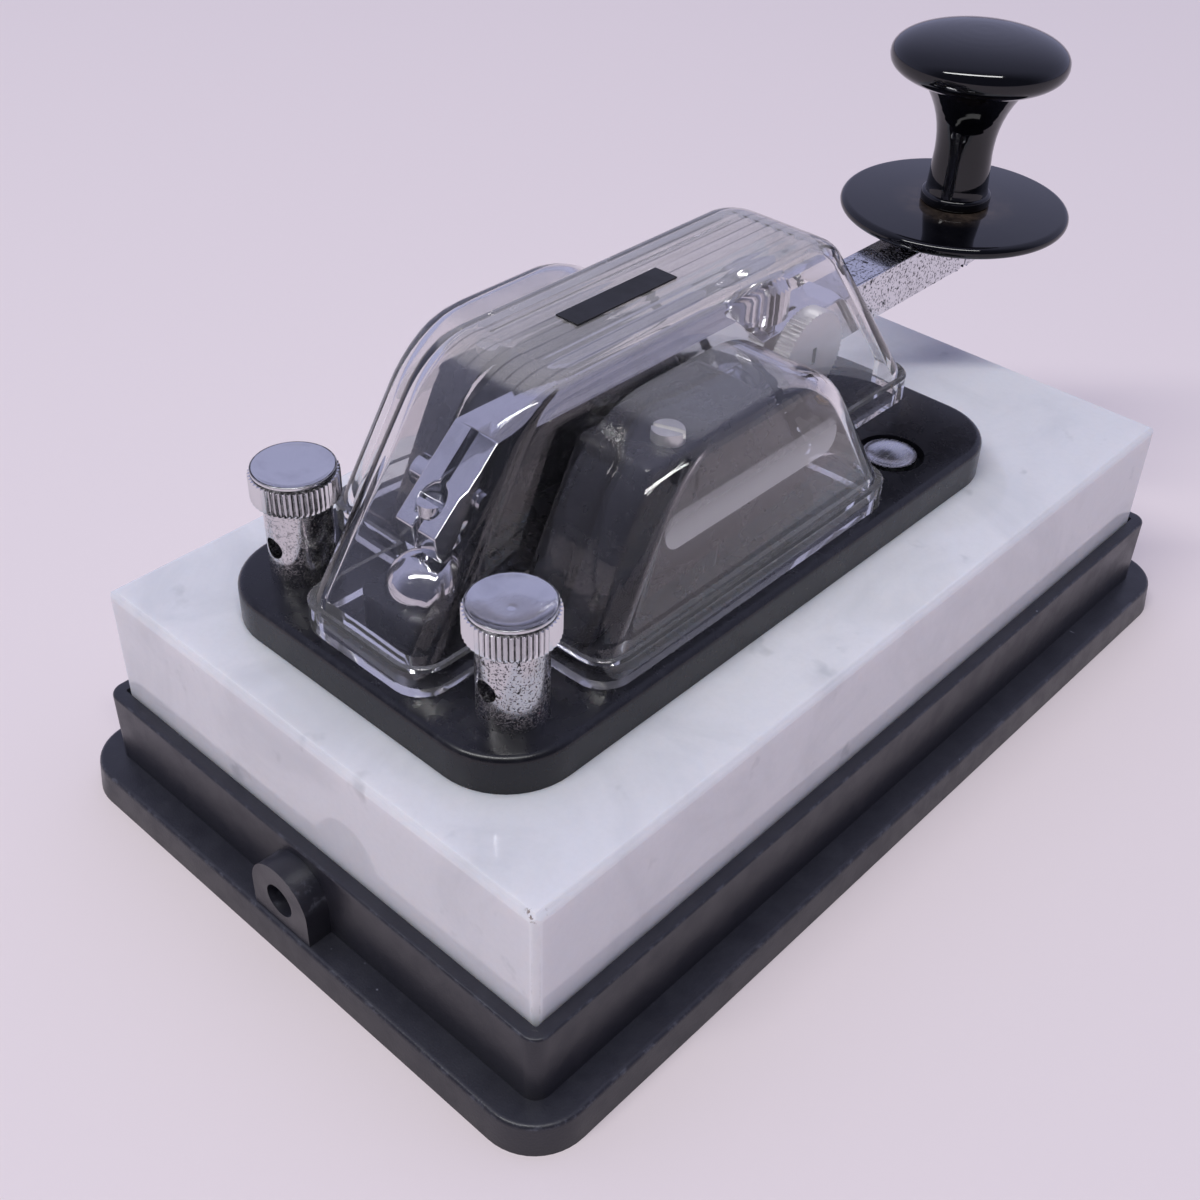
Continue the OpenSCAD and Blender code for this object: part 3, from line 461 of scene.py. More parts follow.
@dataclass(frozen=True)
class Marble:
    """Polished white marble: faint grey clouds, a few darker flecks and a soiled corner.

    Dirt lies along the two edges of the chamfer at that corner, and in chips at its top.
    """

    white: Colour = (0.78, 0.775, 0.795)
    grey: Colour = (0.64, 0.645, 0.67)
    fleck: Colour = (0.48, 0.49, 0.51)
    dirt: Colour = (0.20, 0.145, 0.11)
    clouds: Mottle = Mottle(42.0, 0.42, 0.74, end=0.72, detail=7.0, rough=0.6, bend=0.8)
    spots: Mottle = Mottle(130.0, 0.63, 0.76, end=0.62, rough=0.55)
    sugar: Mottle = Mottle(900.0, 0.35, 0.7, end=0.14, detail=4.0, rough=0.7)
    polish: Mottle = Mottle(90.0, 0.3, 0.7, 0.05, 0.10, detail=4.0, rough=0.6)
    glow: float = 0.8
    glow_reach: Triple = (3.2 * MM, 2.8 * MM, 2.5 * MM)
    corner: Span = (-46.0 * MM, 80.0 * MM)
    chamfer: float = 0.8 * MM
    top: float = 39.0 * MM
    broken: Mottle = Mottle(420.0, 0.46, 0.6, detail=5.0, rough=0.75)
    line_reach: Span = (0.04 * MM, 0.2 * MM)
    line_share: float = 0.7
    chips: Mottle = Mottle(1100.0, 0.58, 0.64, rough=0.6)
    chip_reach: Span = (0.6 * MM, 2.2 * MM)
    chip_depth: Span = (1.8 * MM, 0.3 * MM)

    def soiled(self, g: Graph) -> Socket:
        """Share of dirt at each point: two broken upright lines and a few chips.

        Args:
            g: the finish's tree.

        Returns:
            The share's socket.
        """
        x, y = self.corner
        near = g.math(Sum.SMALLER, g.around(x, y - self.chamfer), g.around(x + self.chamfer, y))
        line = g.times(g.fade(near, *self.line_reach, 1.0, 0.0), self.broken.mask(g), self.line_share)
        beside = g.fade(g.around(x + self.chamfer, y - self.chamfer), *self.chip_reach, 1.0, 0.0)
        deep, shallow = self.chip_depth
        high = g.fade(g.axis(Axis.Z), self.top - deep, self.top - shallow)
        return g.math(Sum.LARGER, line, g.times(beside, high, self.chips.mask(g)))

    def material(self) -> bpy.types.Material:
        """Builds the finish.

        Returns:
            The new material.
        """
        g = Graph.finish("marble_polished")
        colour = g.mix(self.clouds.mask(g), self.white, self.grey)
        colour = g.mix(self.spots.mask(g), colour, self.fleck)
        colour = g.mix(self.sugar.mask(g), colour, self.grey)
        colour = g.mix(self.soiled(g), colour, self.dirt)
        g.shade(Base_Color=colour, Roughness=self.polish.mask(g), Subsurface_Weight=self.glow,
                Subsurface_Radius=self.glow_reach, Subsurface_Scale=1.0)
        return g.owner


@dataclass(frozen=True)
class BlackMoulding:
    """Black plastic or enamel: a fine grain, a film of dust on level faces, lint, and pale sloping edges
    that are part rubbed wear, part painted highlight.

    dusty, lint and the edge share are the greatest shares of the dust colour in each of these; on the
    sloping edges that colour is part rubbed wear, part painted highlight. Soil fills a ring.
    """

    name: str
    black: Colour
    rough: Span
    dust_and_highlight: Colour = (0.30, 0.29, 0.30)
    sheen: Mottle = Mottle(240.0, 0.35, 0.68, detail=4.0, rough=0.6)
    grain: float = 0.03 * MM
    grain_scale: float = 3000.0
    grain_strength: float = 0.5
    level_up: Span = (0.75, 0.98)
    dusty: float = 0.03
    film: Mottle = Mottle(140.0, 0.3, 0.75, detail=6.0, rough=0.7)
    lint: float = 0.0
    spot_scale: float = 330.0
    spot_size: Span = (0.03, 0.09)
    spot_patch: Mottle = Mottle(75.0, 0.6, 0.66, detail=2.0)
    hair_scale: float = 120.0
    hair_width: Span = (0.004, 0.016)
    hair_patch: Mottle = Mottle(170.0, 0.68, 0.72)
    edge_wear_and_highlight: float = 0.0
    edge_slope_from: Span = (0.15, 0.4)
    edge_slope_to: Span = (0.8, 0.95)
    edge_patches: Mottle = Mottle(520.0, 0.47, 0.66, detail=5.0, rough=0.75)
    soil: Ring | None = None
    soil_colour: Colour = (0.22, 0.16, 0.12)
    soil_share: float = 0.3
    cake: Mottle = Mottle(420.0, 0.36, 0.7, 0.25, 1.0, detail=6.0, rough=0.75)

    def fluff(self, g: Graph) -> Socket:
        """Share of lint at each point: small spots and short hairs, both in patches.

        Args:
            g: the finish's tree.

        Returns:
            The share's socket.
        """
        middles, edges = g.cells(self.spot_scale), g.cells(self.hair_scale, Feature.EDGE)
        spots = g.times(g.fade(middles, *self.spot_size, 1.0, 0.0), self.spot_patch.mask(g))
        hairs = g.times(g.fade(edges, *self.hair_width, 1.0, 0.0), self.hair_patch.mask(g))
        return g.math(Sum.LARGER, spots, hairs)

    def material(self) -> bpy.types.Material:
        """Builds the finish.

        Returns:
            The new material.
        """
        g = Graph.finish(self.name)
        up = g.looks_up()
        level = g.fade(up, *self.level_up)
        film = g.times(level, self.film.mask(g), self.dusty)
        colour = g.mix(film, self.black, self.dust_and_highlight)
        if self.lint:
            colour = g.mix(g.times(self.fluff(g), level, self.lint), colour, self.dust_and_highlight)
        # the sloping edges turn pale: part rubbed wear, part painted highlight along the rounded edges
        if self.edge_wear_and_highlight:
            edge = g.times(g.fade(up, *self.edge_slope_from), g.fade(up, *self.edge_slope_to, 1.0, 0.0))
            colour = g.mix(g.times(edge, self.edge_patches.mask(g), self.edge_wear_and_highlight), colour, self.dust_and_highlight)
        if self.soil:
            share = g.times(self.soil.mask(g), level, self.cake.mask(g), self.soil_share)
            colour = g.mix(share, colour, self.soil_colour)
        rough = g.math(Sum.ADD, self.sheen.mask(g, span=self.rough), film)
        normal = g.bump(g.noise(self.grain_scale, detail=2.0), self.grain, self.grain_strength)
        g.shade(Base_Color=colour, Roughness=rough, Normal=normal)
        return g.owner


@dataclass(frozen=True)
class BrightPlate:
    """Bright plating with a faint cloudiness, fine wiping marks and, where it is worn, dark pits.

    worn is the share of pitted metal inside the zone, with fine and coarse pits to the metre. A cut is where
    a noise turns into pits or patches, and wear lowers that of the patches. Grime fills a ring.
    """

    name: str
    bright: Colour = (0.74, 0.745, 0.775)
    cloud: Colour = (0.52, 0.52, 0.54)
    pit: Colour = (0.030, 0.026, 0.024)
    clouds: Mottle = Mottle(160.0, 0.45, 0.8, end=0.45, detail=5.0, rough=0.6)
    rough: Span = (0.05, 0.12)
    wiping: Mottle = Mottle(500.0, 0.35, 0.7, detail=4.0, rough=0.6)
    wiping_stretch: Triple = (3.0, 0.35, 3.0)
    ripple: float = 700.0
    ripple_depth: float = 0.01 * MM
    ripple_strength: float = 0.5
    worn: float = 0.0
    fine: float = 3000.0
    fine_cut: Span = (0.545, 0.61)
    fine_share: float = 0.75
    coarse: float = 850.0
    coarse_cut: Span = (0.585, 0.65)
    patch: float = 230.0
    patch_cut: Span = (0.60, 0.70)
    patch_spread: float = 0.3
    zone: Zone | None = None
    haze: float = 0.07
    pit_rough: float = 0.5
    pit_depth: float = 4.0
    grime: Ring | None = None
    cake: Mottle = Mottle(900.0, 0.3, 0.62, 0.45, 0.95, detail=4.0, rough=0.7)
    cake_rough: float = 0.4

    def pitted(self, g: Graph) -> tuple[Socket, Socket]:
        """Where the plating is worn.

        Args:
            g: the finish's tree.

        Returns:
            The share of pits at each point, and that of the worn patches round them.
        """
        fine = Mottle(self.fine, *self.fine_cut, end=self.fine_share, rough=0.6).mask(g)
        coarse = Mottle(self.coarse, *self.coarse_cut, detail=5.0, rough=0.7).mask(g)
        low, high = (cut - self.patch_spread * self.worn for cut in self.patch_cut)
        patch = Mottle(self.patch, low, high, detail=5.0, rough=0.65).mask(g)
        pits = g.times(g.math(Sum.LARGER, fine, coarse), patch)
        if not self.zone:
            return pits, patch
        share = self.zone.mask(g)
        return g.times(pits, share), g.times(patch, share)

    def material(self) -> bpy.types.Material:
        """Builds the finish.

        Returns:
            The new material.
        """
        g = Graph.finish(self.name)
        colour = g.mix(self.clouds.mask(g), self.bright, self.cloud)
        rough = self.wiping.mask(g, g.stretched(self.wiping_stretch), self.rough)
        height = g.noise(self.ripple)
        if self.worn:
            pits, patch = self.pitted(g)
            colour = g.mix(pits, colour, self.pit)
            rough = g.math(Sum.ADD, rough, g.times(pits, self.pit_rough))
            rough = g.math(Sum.ADD, rough, g.times(patch, self.haze))
            height = g.math(Sum.SUBTRACT, height, g.times(pits, self.pit_depth))
        if self.grime:
            caked = g.times(self.grime.mask(g), self.cake.mask(g))
            colour = g.mix(caked, colour, self.pit)
            rough = g.math(Sum.ADD, rough, g.times(caked, self.cake_rough))
        normal = g.bump(height, self.ripple_depth, self.ripple_strength)
        g.shade(Base_Color=colour, Metallic=1.0, Roughness=rough, Normal=normal)
        return g.owner


@dataclass(frozen=True)
class PlainBrass:
    """Dull yellow brass with a brown bloom."""

    bright: Colour = (0.70, 0.52, 0.22)
    brown: Colour = (0.34, 0.22, 0.10)
    bloom: Mottle = Mottle(220.0, 0.42, 0.75, end=0.6, detail=5.0, rough=0.6)
    sheen: Mottle = Mottle(700.0, 0.3, 0.7, 0.22, 0.4)
    grain: float = 0.02 * MM
    grain_scale: float = 1800.0
    grain_strength: float = 0.4

    def material(self) -> bpy.types.Material:
        """Builds the finish.

        Returns:
            The new material.
        """
        g = Graph.finish("brass_plain")
        colour = g.mix(self.bloom.mask(g), self.bright, self.brown)
        normal = g.bump(g.noise(self.grain_scale), self.grain, self.grain_strength)
        g.shade(Base_Color=colour, Metallic=1.0, Roughness=self.sheen.mask(g), Normal=normal)
        return g.owner


@dataclass(frozen=True)
class ClearMoulding:
    """Clear plastic, a little yellowed: fine scratches, dust on level tops, a bloom on the fluted one.

    Each flank has a pale band. Lamps shine through the plastic, with only the loss of its two faces.
    """

    tint: Colour = (0.955, 0.945, 0.94)
    index: float = 1.49
    passing: Colour = (0.90, 0.895, 0.89)
    least_rough: float = 0.012
    haze: Mottle = Mottle(55.0, 0.5, 0.8, end=0.04, detail=5.0, rough=0.6)
    scratch_along: Mottle = Mottle(420.0, 0.66, 0.72, detail=5.0, rough=0.7, bend=0.4)
    along_stretch: Triple = (4.0, 0.16, 1.0)
    along_turn: Triple = (0.0, 0.0, 0.35)
    scratch_across: Mottle = Mottle(420.0, 0.68, 0.74, detail=5.0, rough=0.7, bend=0.4)
    across_stretch: Triple = (0.2, 3.6, 1.2)
    across_turn: Triple = (0.2, 0.0, 0.5)
    scratch_rough: float = 0.08
    scratch_height: float = 0.12
    ripple: float = 60.0
    ripple_depth: float = 0.05 * MM
    ripple_strength: float = 0.25
    bloom: Zone = Zone(Axis.Z, 81.6 * MM, 90.0 * MM, 0.01, 0.7 * MM)
    bloom_share: float = 0.34
    bloom_tint: Colour = (0.66, 0.63, 0.60)
    bloom_clouds: Mottle = Mottle(90.0, 0.25, 0.7, 0.75, 1.0, detail=5.0, rough=0.6)
    dust_tint: Colour = (0.34, 0.34, 0.37)
    dust_share: float = 0.09
    dust_tone: float = 0.6
    dust_up: Span = (0.93, 0.995)
    dust_clouds: Mottle = Mottle(70.0, 0.3, 0.7, 0.6, 1.0, detail=5.0, rough=0.6)
    flute_pitch: float = 2.2 * MM
    flute_line: Span = (0.8, 0.97)
    flute_shade: Colour = (0.22, 0.21, 0.22)
    flute_clouds: Mottle = Mottle(200.0, 0.36, 0.62, 0.25, 0.9, detail=4.0, rough=0.6)
    flute_stretch: Triple = (2.0, 0.15, 1.0)
    band_middle: Span = (18.0 * MM, 64.4 * MM)
    band_half: Span = (19.2 * MM, 2.8 * MM)
    band_round: float = 2.6 * MM
    band_blur: float = 0.15 * MM
    band_out: float = 27.4 * MM
    band_out_blur: float = 0.3 * MM
    band_share: float = 0.38

    def valleys(self, g: Graph) -> Socket:
        """Share of painted shade in the flute valleys: lines along Y, one to each pitch across X, unevenly
        dark.

        Args:
            g: the finish's tree.

        Returns:
            The share's socket.
        """
        turn = g.times(g.axis(Axis.X), 2.0 * math.pi / self.flute_pitch)
        line = g.fade(g.math(Sum.COSINE, turn), *self.flute_line)
        return g.times(line, self.flute_clouds.mask(g, g.stretched(self.flute_stretch)))

    def band(self, g: Graph) -> Socket:
        """Share of the pale band on each flank, where the plastic lets less through: a rectangle along Y and
        Z with rounded corners.

        Args:
            g: the finish's tree.

        Returns:
            The share's socket.
        """
        spans = zip((Axis.Y, Axis.Z), self.band_middle, self.band_half)
        over = [g.math(Sum.LARGER, g.math(Sum.SUBTRACT, g.away(axis, middle), half - self.band_round), 0.0)
                for axis, middle, half in spans]
        squares = [g.times(span, span) for span in over]
        reach = g.math(Sum.ROOT, g.math(Sum.ADD, *squares))
        inside = g.fade(reach, self.band_round - self.band_blur, self.band_round + self.band_blur, 1.0, 0.0)
        flank = g.fade(g.away(Axis.X, 0.0), self.band_out - self.band_out_blur,
                       self.band_out + self.band_out_blur)
        return g.times(inside, flank, self.band_share)

    def scratches(self, g: Graph) -> Socket:
        """Share of scratches at each point: fine lines in two directions.

        Args:
            g: the finish's tree.

        Returns:
            The share's socket.
        """
        along = self.scratch_along.mask(g, g.stretched(self.along_stretch, self.along_turn))
        across = self.scratch_across.mask(g, g.stretched(self.across_stretch, self.across_turn))
        return g.math(Sum.LARGER, along, across)

    def lit_through(self, g: Graph, clear: Socket) -> Socket:
        """A shader that lets lamps through.

        Args:
            g: the finish's tree.
            clear: the shader that everything but a lamp's shadow sees.

        Returns:
            The mixed shader's socket.
        """
        lit = g.add("ShaderNodeBsdfTransparent")
        g.put(lit.inputs[0], self.passing)
        either = g.add("ShaderNodeMixShader")
        g.put(either.inputs[0], g.add("ShaderNodeLightPath").outputs["Is Shadow Ray"])
        g.put(either.inputs[1], clear)
        g.put(either.inputs[2], lit.outputs[0])
        return either.outputs[0]

    def material(self) -> bpy.types.Material:
        """Builds the finish.

        Returns:
            The new material.
        """
        g = Graph.finish("plastic_clear")
        scratches = self.scratches(g)
        rough = g.math(Sum.ADD, g.math(Sum.ADD, self.haze.mask(g), g.times(scratches, self.scratch_rough)),
                       self.least_rough)
        top = self.bloom.mask(g)
        cloud = g.times(top, self.bloom_clouds.mask(g), self.bloom_share)
        settled = g.times(g.fade(g.looks_up(), *self.dust_up), self.dust_clouds.mask(g))
        cloud = g.math(Sum.LARGER, cloud, g.times(settled, self.dust_share))
        # a pale band on each flank: the plastic lets less through there
        cloud = g.math(Sum.LARGER, cloud, self.band(g))
        colour = g.mix(g.times(settled, self.dust_tone), self.tint, self.dust_tint)
        colour = g.mix(top, colour, self.bloom_tint)
        # painted shade: dark lines along the flute valleys on the top
        colour = g.mix(g.times(top, self.valleys(g)), colour, self.flute_shade)
        ripple = g.noise(self.ripple, detail=2.0, rough=0.4)
        height = g.math(Sum.ADD, ripple, g.times(scratches, self.scratch_height))
        normal = g.bump(height, self.ripple_depth, self.ripple_strength)
        clear = g.shade(Base_Color=colour, Roughness=rough, Normal=normal, IOR=self.index,
                        Transmission_Weight=g.math(Sum.SUBTRACT, 1.0, cloud))
        g.show(self.lit_through(g, clear.outputs[0]))
        return g.owner


class Shading:
    """A shared modifier that joins a mesh's loose triangles and shades it smooth up to an angle.

    Where edges are rounded, faces within flat_angle count as one, and edges past sharp_angle are rounded.
    """

    flat_angle: float = math.radians(0.3)
    sharp_angle: float = math.radians(40.0)
    segments: int = 3

    def __init__(self, angle: float = 32.0, reach: float = 0.000002) -> None:
        """Builds the node group once.

        Args:
            angle: largest angle between faces that is still smooth, in degrees.
            reach: distance over which corners are joined, in metres.
        """
        self.reach = reach
        self.group = bpy.data.node_groups.new("smooth_to_angle", "GeometryNodeTree")
        face = self.group.interface
        face.new_socket("Geometry", in_out="INPUT", socket_type="NodeSocketGeometry")
        face.new_socket("Geometry", in_out="OUTPUT", socket_type="NodeSocketGeometry")
        nodes, links = self.group.nodes, self.group.links
        start, end = nodes.new("NodeGroupInput"), nodes.new("NodeGroupOutput")
        merge = nodes.new("GeometryNodeMergeByDistance")
        merge.inputs["Distance"].default_value = reach
        faces, edges = nodes.new("GeometryNodeSetShadeSmooth"), nodes.new("GeometryNodeSetShadeSmooth")
        faces.domain, edges.domain = "FACE", "EDGE"
        faces.inputs["Shade Smooth"].default_value = True
        edges.inputs["Shade Smooth"].default_value = False
        turn = nodes.new("GeometryNodeInputMeshEdgeAngle")
        sharp = nodes.new("FunctionNodeCompare")
        sharp.data_type, sharp.operation = "FLOAT", "GREATER_THAN"
        sharp.inputs[1].default_value = math.radians(angle)
        links.new(start.outputs[0], merge.inputs["Geometry"])
        links.new(merge.outputs[0], faces.inputs["Geometry"])
        links.new(faces.outputs[0], edges.inputs["Geometry"])
        links.new(turn.outputs["Unsigned Angle"], sharp.inputs[0])
        links.new(sharp.outputs[0], edges.inputs["Selection"])
        links.new(edges.outputs[0], end.inputs[0])

    def apply(self, piece: bpy.types.Object) -> None:
        """Adds the modifier to a piece."""
        piece.modifiers.new("smooth_to_angle", "NODES").node_group = self.group

    def soften(self, piece: bpy.types.Object, width: float) -> None:
        """Rounds a piece's sharp edges: its triangles become flat faces, whose edges are then bevelled.

        Args:
            piece: a mesh of flat and round faces.
            width: how far the round reaches from the edge, in metres.
        """
        weld = piece.modifiers.new("weld", "WELD")
        weld.merge_threshold = self.reach
        flat = piece.modifiers.new("flat_faces", "DECIMATE")
        flat.decimate_type, flat.angle_limit = "DISSOLVE", self.flat_angle
        bevel = piece.modifiers.new("soft_edges", "BEVEL")
        bevel.width, bevel.segments, bevel.angle_limit = width, self.segments, self.sharp_angle
        bevel.use_clamp_overlap = False
        self.apply(piece)
        level = piece.modifiers.new("level_faces", "WEIGHTED_NORMAL")
        level.keep_sharp = True


def grid_faces(rows: int, columns: int) -> np.ndarray:
    """Quads of a grid whose columns close on themselves: each joins a point to the next row and column.

    Args:
        rows: number of rows.
        columns: number of points in a row.

    Returns:
        Point numbers of shape (quads, 4).
    """
    row, column = np.meshgrid(np.arange(rows - 1), np.arange(columns), indexing="ij")
    after = (column + 1) % columns
    corners = [row * columns + column, row * columns + after, (row + 1) * columns + after,
               (row + 1) * columns + column]
    return np.stack(corners, axis=-1).reshape(-1, 4)


def fan_faces(centre: int, ring: np.ndarray, outward: bool) -> np.ndarray:
    """Triangles that close a ring at a pole: each joins the pole to a point and the next one.

    Args:
        centre: the pole's number.
        ring: the ring's point numbers, in order.
        outward: whether the triangles follow the ring's order.

    Returns:
        Point numbers of shape (triangles, 3).
    """
    after = np.roll(ring, -1)
    hub = np.full_like(ring, centre)
    return np.stack([hub, ring, after] if outward else [hub, after, ring], axis=-1)


def closed_tube(rings: np.ndarray, name: str) -> bpy.types.Object:
    """A mesh from rings of points, closed at both ends by the middle of the end ring.

    Args:
        rings: points of shape (rows, columns, 3): columns run round the outside and rows along it.
        name: the piece's name.

    Returns:
        The linked object, with smooth faces.
    """
    rows, columns, _ = rings.shape
    points = np.concatenate([rings.reshape(-1, 3), [rings[0].mean(0)], [rings[-1].mean(0)]])
    first = np.arange(columns)
    last = first + (rows - 1) * columns
    count = rows * columns
    faces = [grid_faces(rows, columns).tolist(), fan_faces(count, first, False).tolist(),
             fan_faces(count + 1, last, True).tolist()]
    mesh = bpy.data.meshes.new(name)
    mesh.from_pydata(points.tolist(), [], sum(faces, []))
    mesh.polygons.foreach_set("use_smooth", np.ones(len(mesh.polygons), dtype=bool))
    mesh.update()
    piece = bpy.data.objects.new(name, mesh)
    bpy.context.scene.collection.objects.link(piece)
    return piece


def eased(corners: Sequence[Span], radius: float, steps: int = 4, most: float = 0.45) -> np.ndarray:
    """A profile with its inner corners rounded: each is replaced by a parabola between points on its legs.

    Args:
        corners: the profile's points, in order.
        radius: distance from a corner to where its curve starts.
        steps: points along each curve.
        most: the largest share of a leg that a curve takes.

    Returns:
        Points of shape (rows, 2).
    """
    points = np.asarray(corners, dtype=float)
    before, here, after = points[:-2], points[1:-1], points[2:]
    reach_in = np.linalg.norm(before - here, axis=1, keepdims=True)
    reach_out = np.linalg.norm(after - here, axis=1, keepdims=True)
    start = here + (before - here) * np.minimum(most, radius / reach_in)
    end = here + (after - here) * np.minimum(most, radius / reach_out)
    t = np.linspace(0.0, 1.0, steps)[None, :, None]
    curve = (1 - t) ** 2 * start[:, None] + 2 * t * (1 - t) * here[:, None] + t**2 * end[:, None]
    return np.concatenate([points[:1], curve.reshape(-1, 2), points[-1:]])


@dataclass
class Assembly:
    """A group of pieces that is built and dressed together."""

    nodes: dict[str, bpy.types.Object]
    shading: Shading

    def dress(self, material: bpy.types.Material, *names: str, soft: float = 0.0) -> None:
        """Gives CAD nodes a finish and smooth shading.

        Args:
            material: the finish.
            *names: the nodes.
            soft: how far their sharp edges are rounded, in metres.
        """
        for name in names:
            piece = self.nodes[name]
            piece.data.materials.clear()
            piece.data.materials.append(material)
            if soft:
                self.shading.soften(piece, soft)
            else:
                self.shading.apply(piece)
            LOG.info("dressed %s in %s", name, material.name)

    def finish_piece(self, piece: bpy.types.Object, material: bpy.types.Material, body: str, slot: str,
                     stands_for: str) -> None:
        """Gives a new piece its finish and its body, and hides the node it stands for.

        Args:
            piece: the new piece.
            material: its finish.
            body: the CAD body that it moves with.
            slot: not used.
            stands_for: the CAD node that it replaces.
        """
        piece.data.materials.append(material)
        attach(piece, body)
        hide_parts(stands_for)
        LOG.info("made %s on %s", piece.name, body)


@dataclass
class Foundation(Assembly):
    """The tray, the slab and the key plate with what is fixed to it.

    casting_slope is the slope of a support's front and rear, in degrees.
    """

    slab_edge: float = 0.5 * MM
    casting_edge: float = 1.0 * MM
    casting_front: float = 6.0 * MM
    casting_slope: Span = (60.0, 62.0)

    def casting(self, side: Side) -> bpy.types.Object:
        """A support round a pivot: a block across X whose outline is a trapezoid with the pillar's top.

        Each end of the foot reaches past that of the top by the height over the tangent of the slope.

        Args:
            side: the pivot's side.

        Returns:
            The new piece, which stands on the plate.
        """
        low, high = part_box(f"pivot_pillar_{side.value}")
        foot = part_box("key_plate")[1].z
        front, rear = self.casting_front, high.y
        run = [(high.z - foot) / math.tan(math.radians(slope)) for slope in self.casting_slope]
        outline = np.array([(0.0, rear, high.z), (0.0, front, high.z), (0.0, front - run[0], foot),
                            (0.0, rear + run[1], foot)])
        ends = np.array([(low.x, 0.0, 0.0), (high.x, 0.0, 0.0)])
        return closed_tube(ends[:, None] + outline, f"pivot_casting_{side.value}")

    def build(self, plating: bpy.types.Material, brass: bpy.types.Material) -> None:
        """Dresses the fixed pieces.

        Args:
            plating: bright plating for screws and the dome.
            brass: brass for the hidden straps, nuts and contacts.
        """
        # the tray's and the plate's pale edges are part wear, part painted highlight
        tray = BlackMoulding("tray_satin", black=(0.017, 0.017, 0.024), dust_and_highlight=(0.30, 0.31, 0.38),
                             rough=(0.3, 0.42), grain=0.06 * MM, lint=0.5, edge_wear_and_highlight=0.16)
        plate = BlackMoulding("plate_semi_gloss", black=(0.004, 0.004, 0.0062), dust_and_highlight=(0.30, 0.31, 0.36),
                              rough=(0.24, 0.32), grain=0.012 * MM, dusty=0.008, lint=0.3, edge_wear_and_highlight=0.03)
        enamel = BlackMoulding("pillar_enamel", black=(0.006, 0.006, 0.008), rough=(0.2, 0.3))
        dull = BrightPlate("plating_dull", bright=(0.66, 0.665, 0.70), rough=(0.22, 0.34))
        pale = BrightPlate("plating_lock_screws", bright=(0.86, 0.85, 0.83), rough=(0.36, 0.46))
        self.dress(tray.material(), "base_tray")
        self.dress(Marble().material(), "marble_slab", soft=self.slab_edge)
        self.dress(plate.material(), "key_plate", "frame_bed")
        black = enamel.material()
        for side in Side:
            casting = self.casting(side)
            self.shading.soften(casting, self.casting_edge)
            self.finish_piece(casting, black, "base", "pillar_black", f"pivot_pillar_{side.value}")
        self.dress(black, "pivot_screw_left", "pivot_screw_right")
        self.dress(plating, "back_stop_dome", "pillar_screws", "spring_cup")
        self.dress(dull.material(), "plate_screws")
        self.dress(pale.material(), "pillar_lock_screws")
        self.dress(brass, "stone_anchors", "terminal_nuts", "contact_strap", "pivot_strap", "contact_nut",
                   "lower_contact")


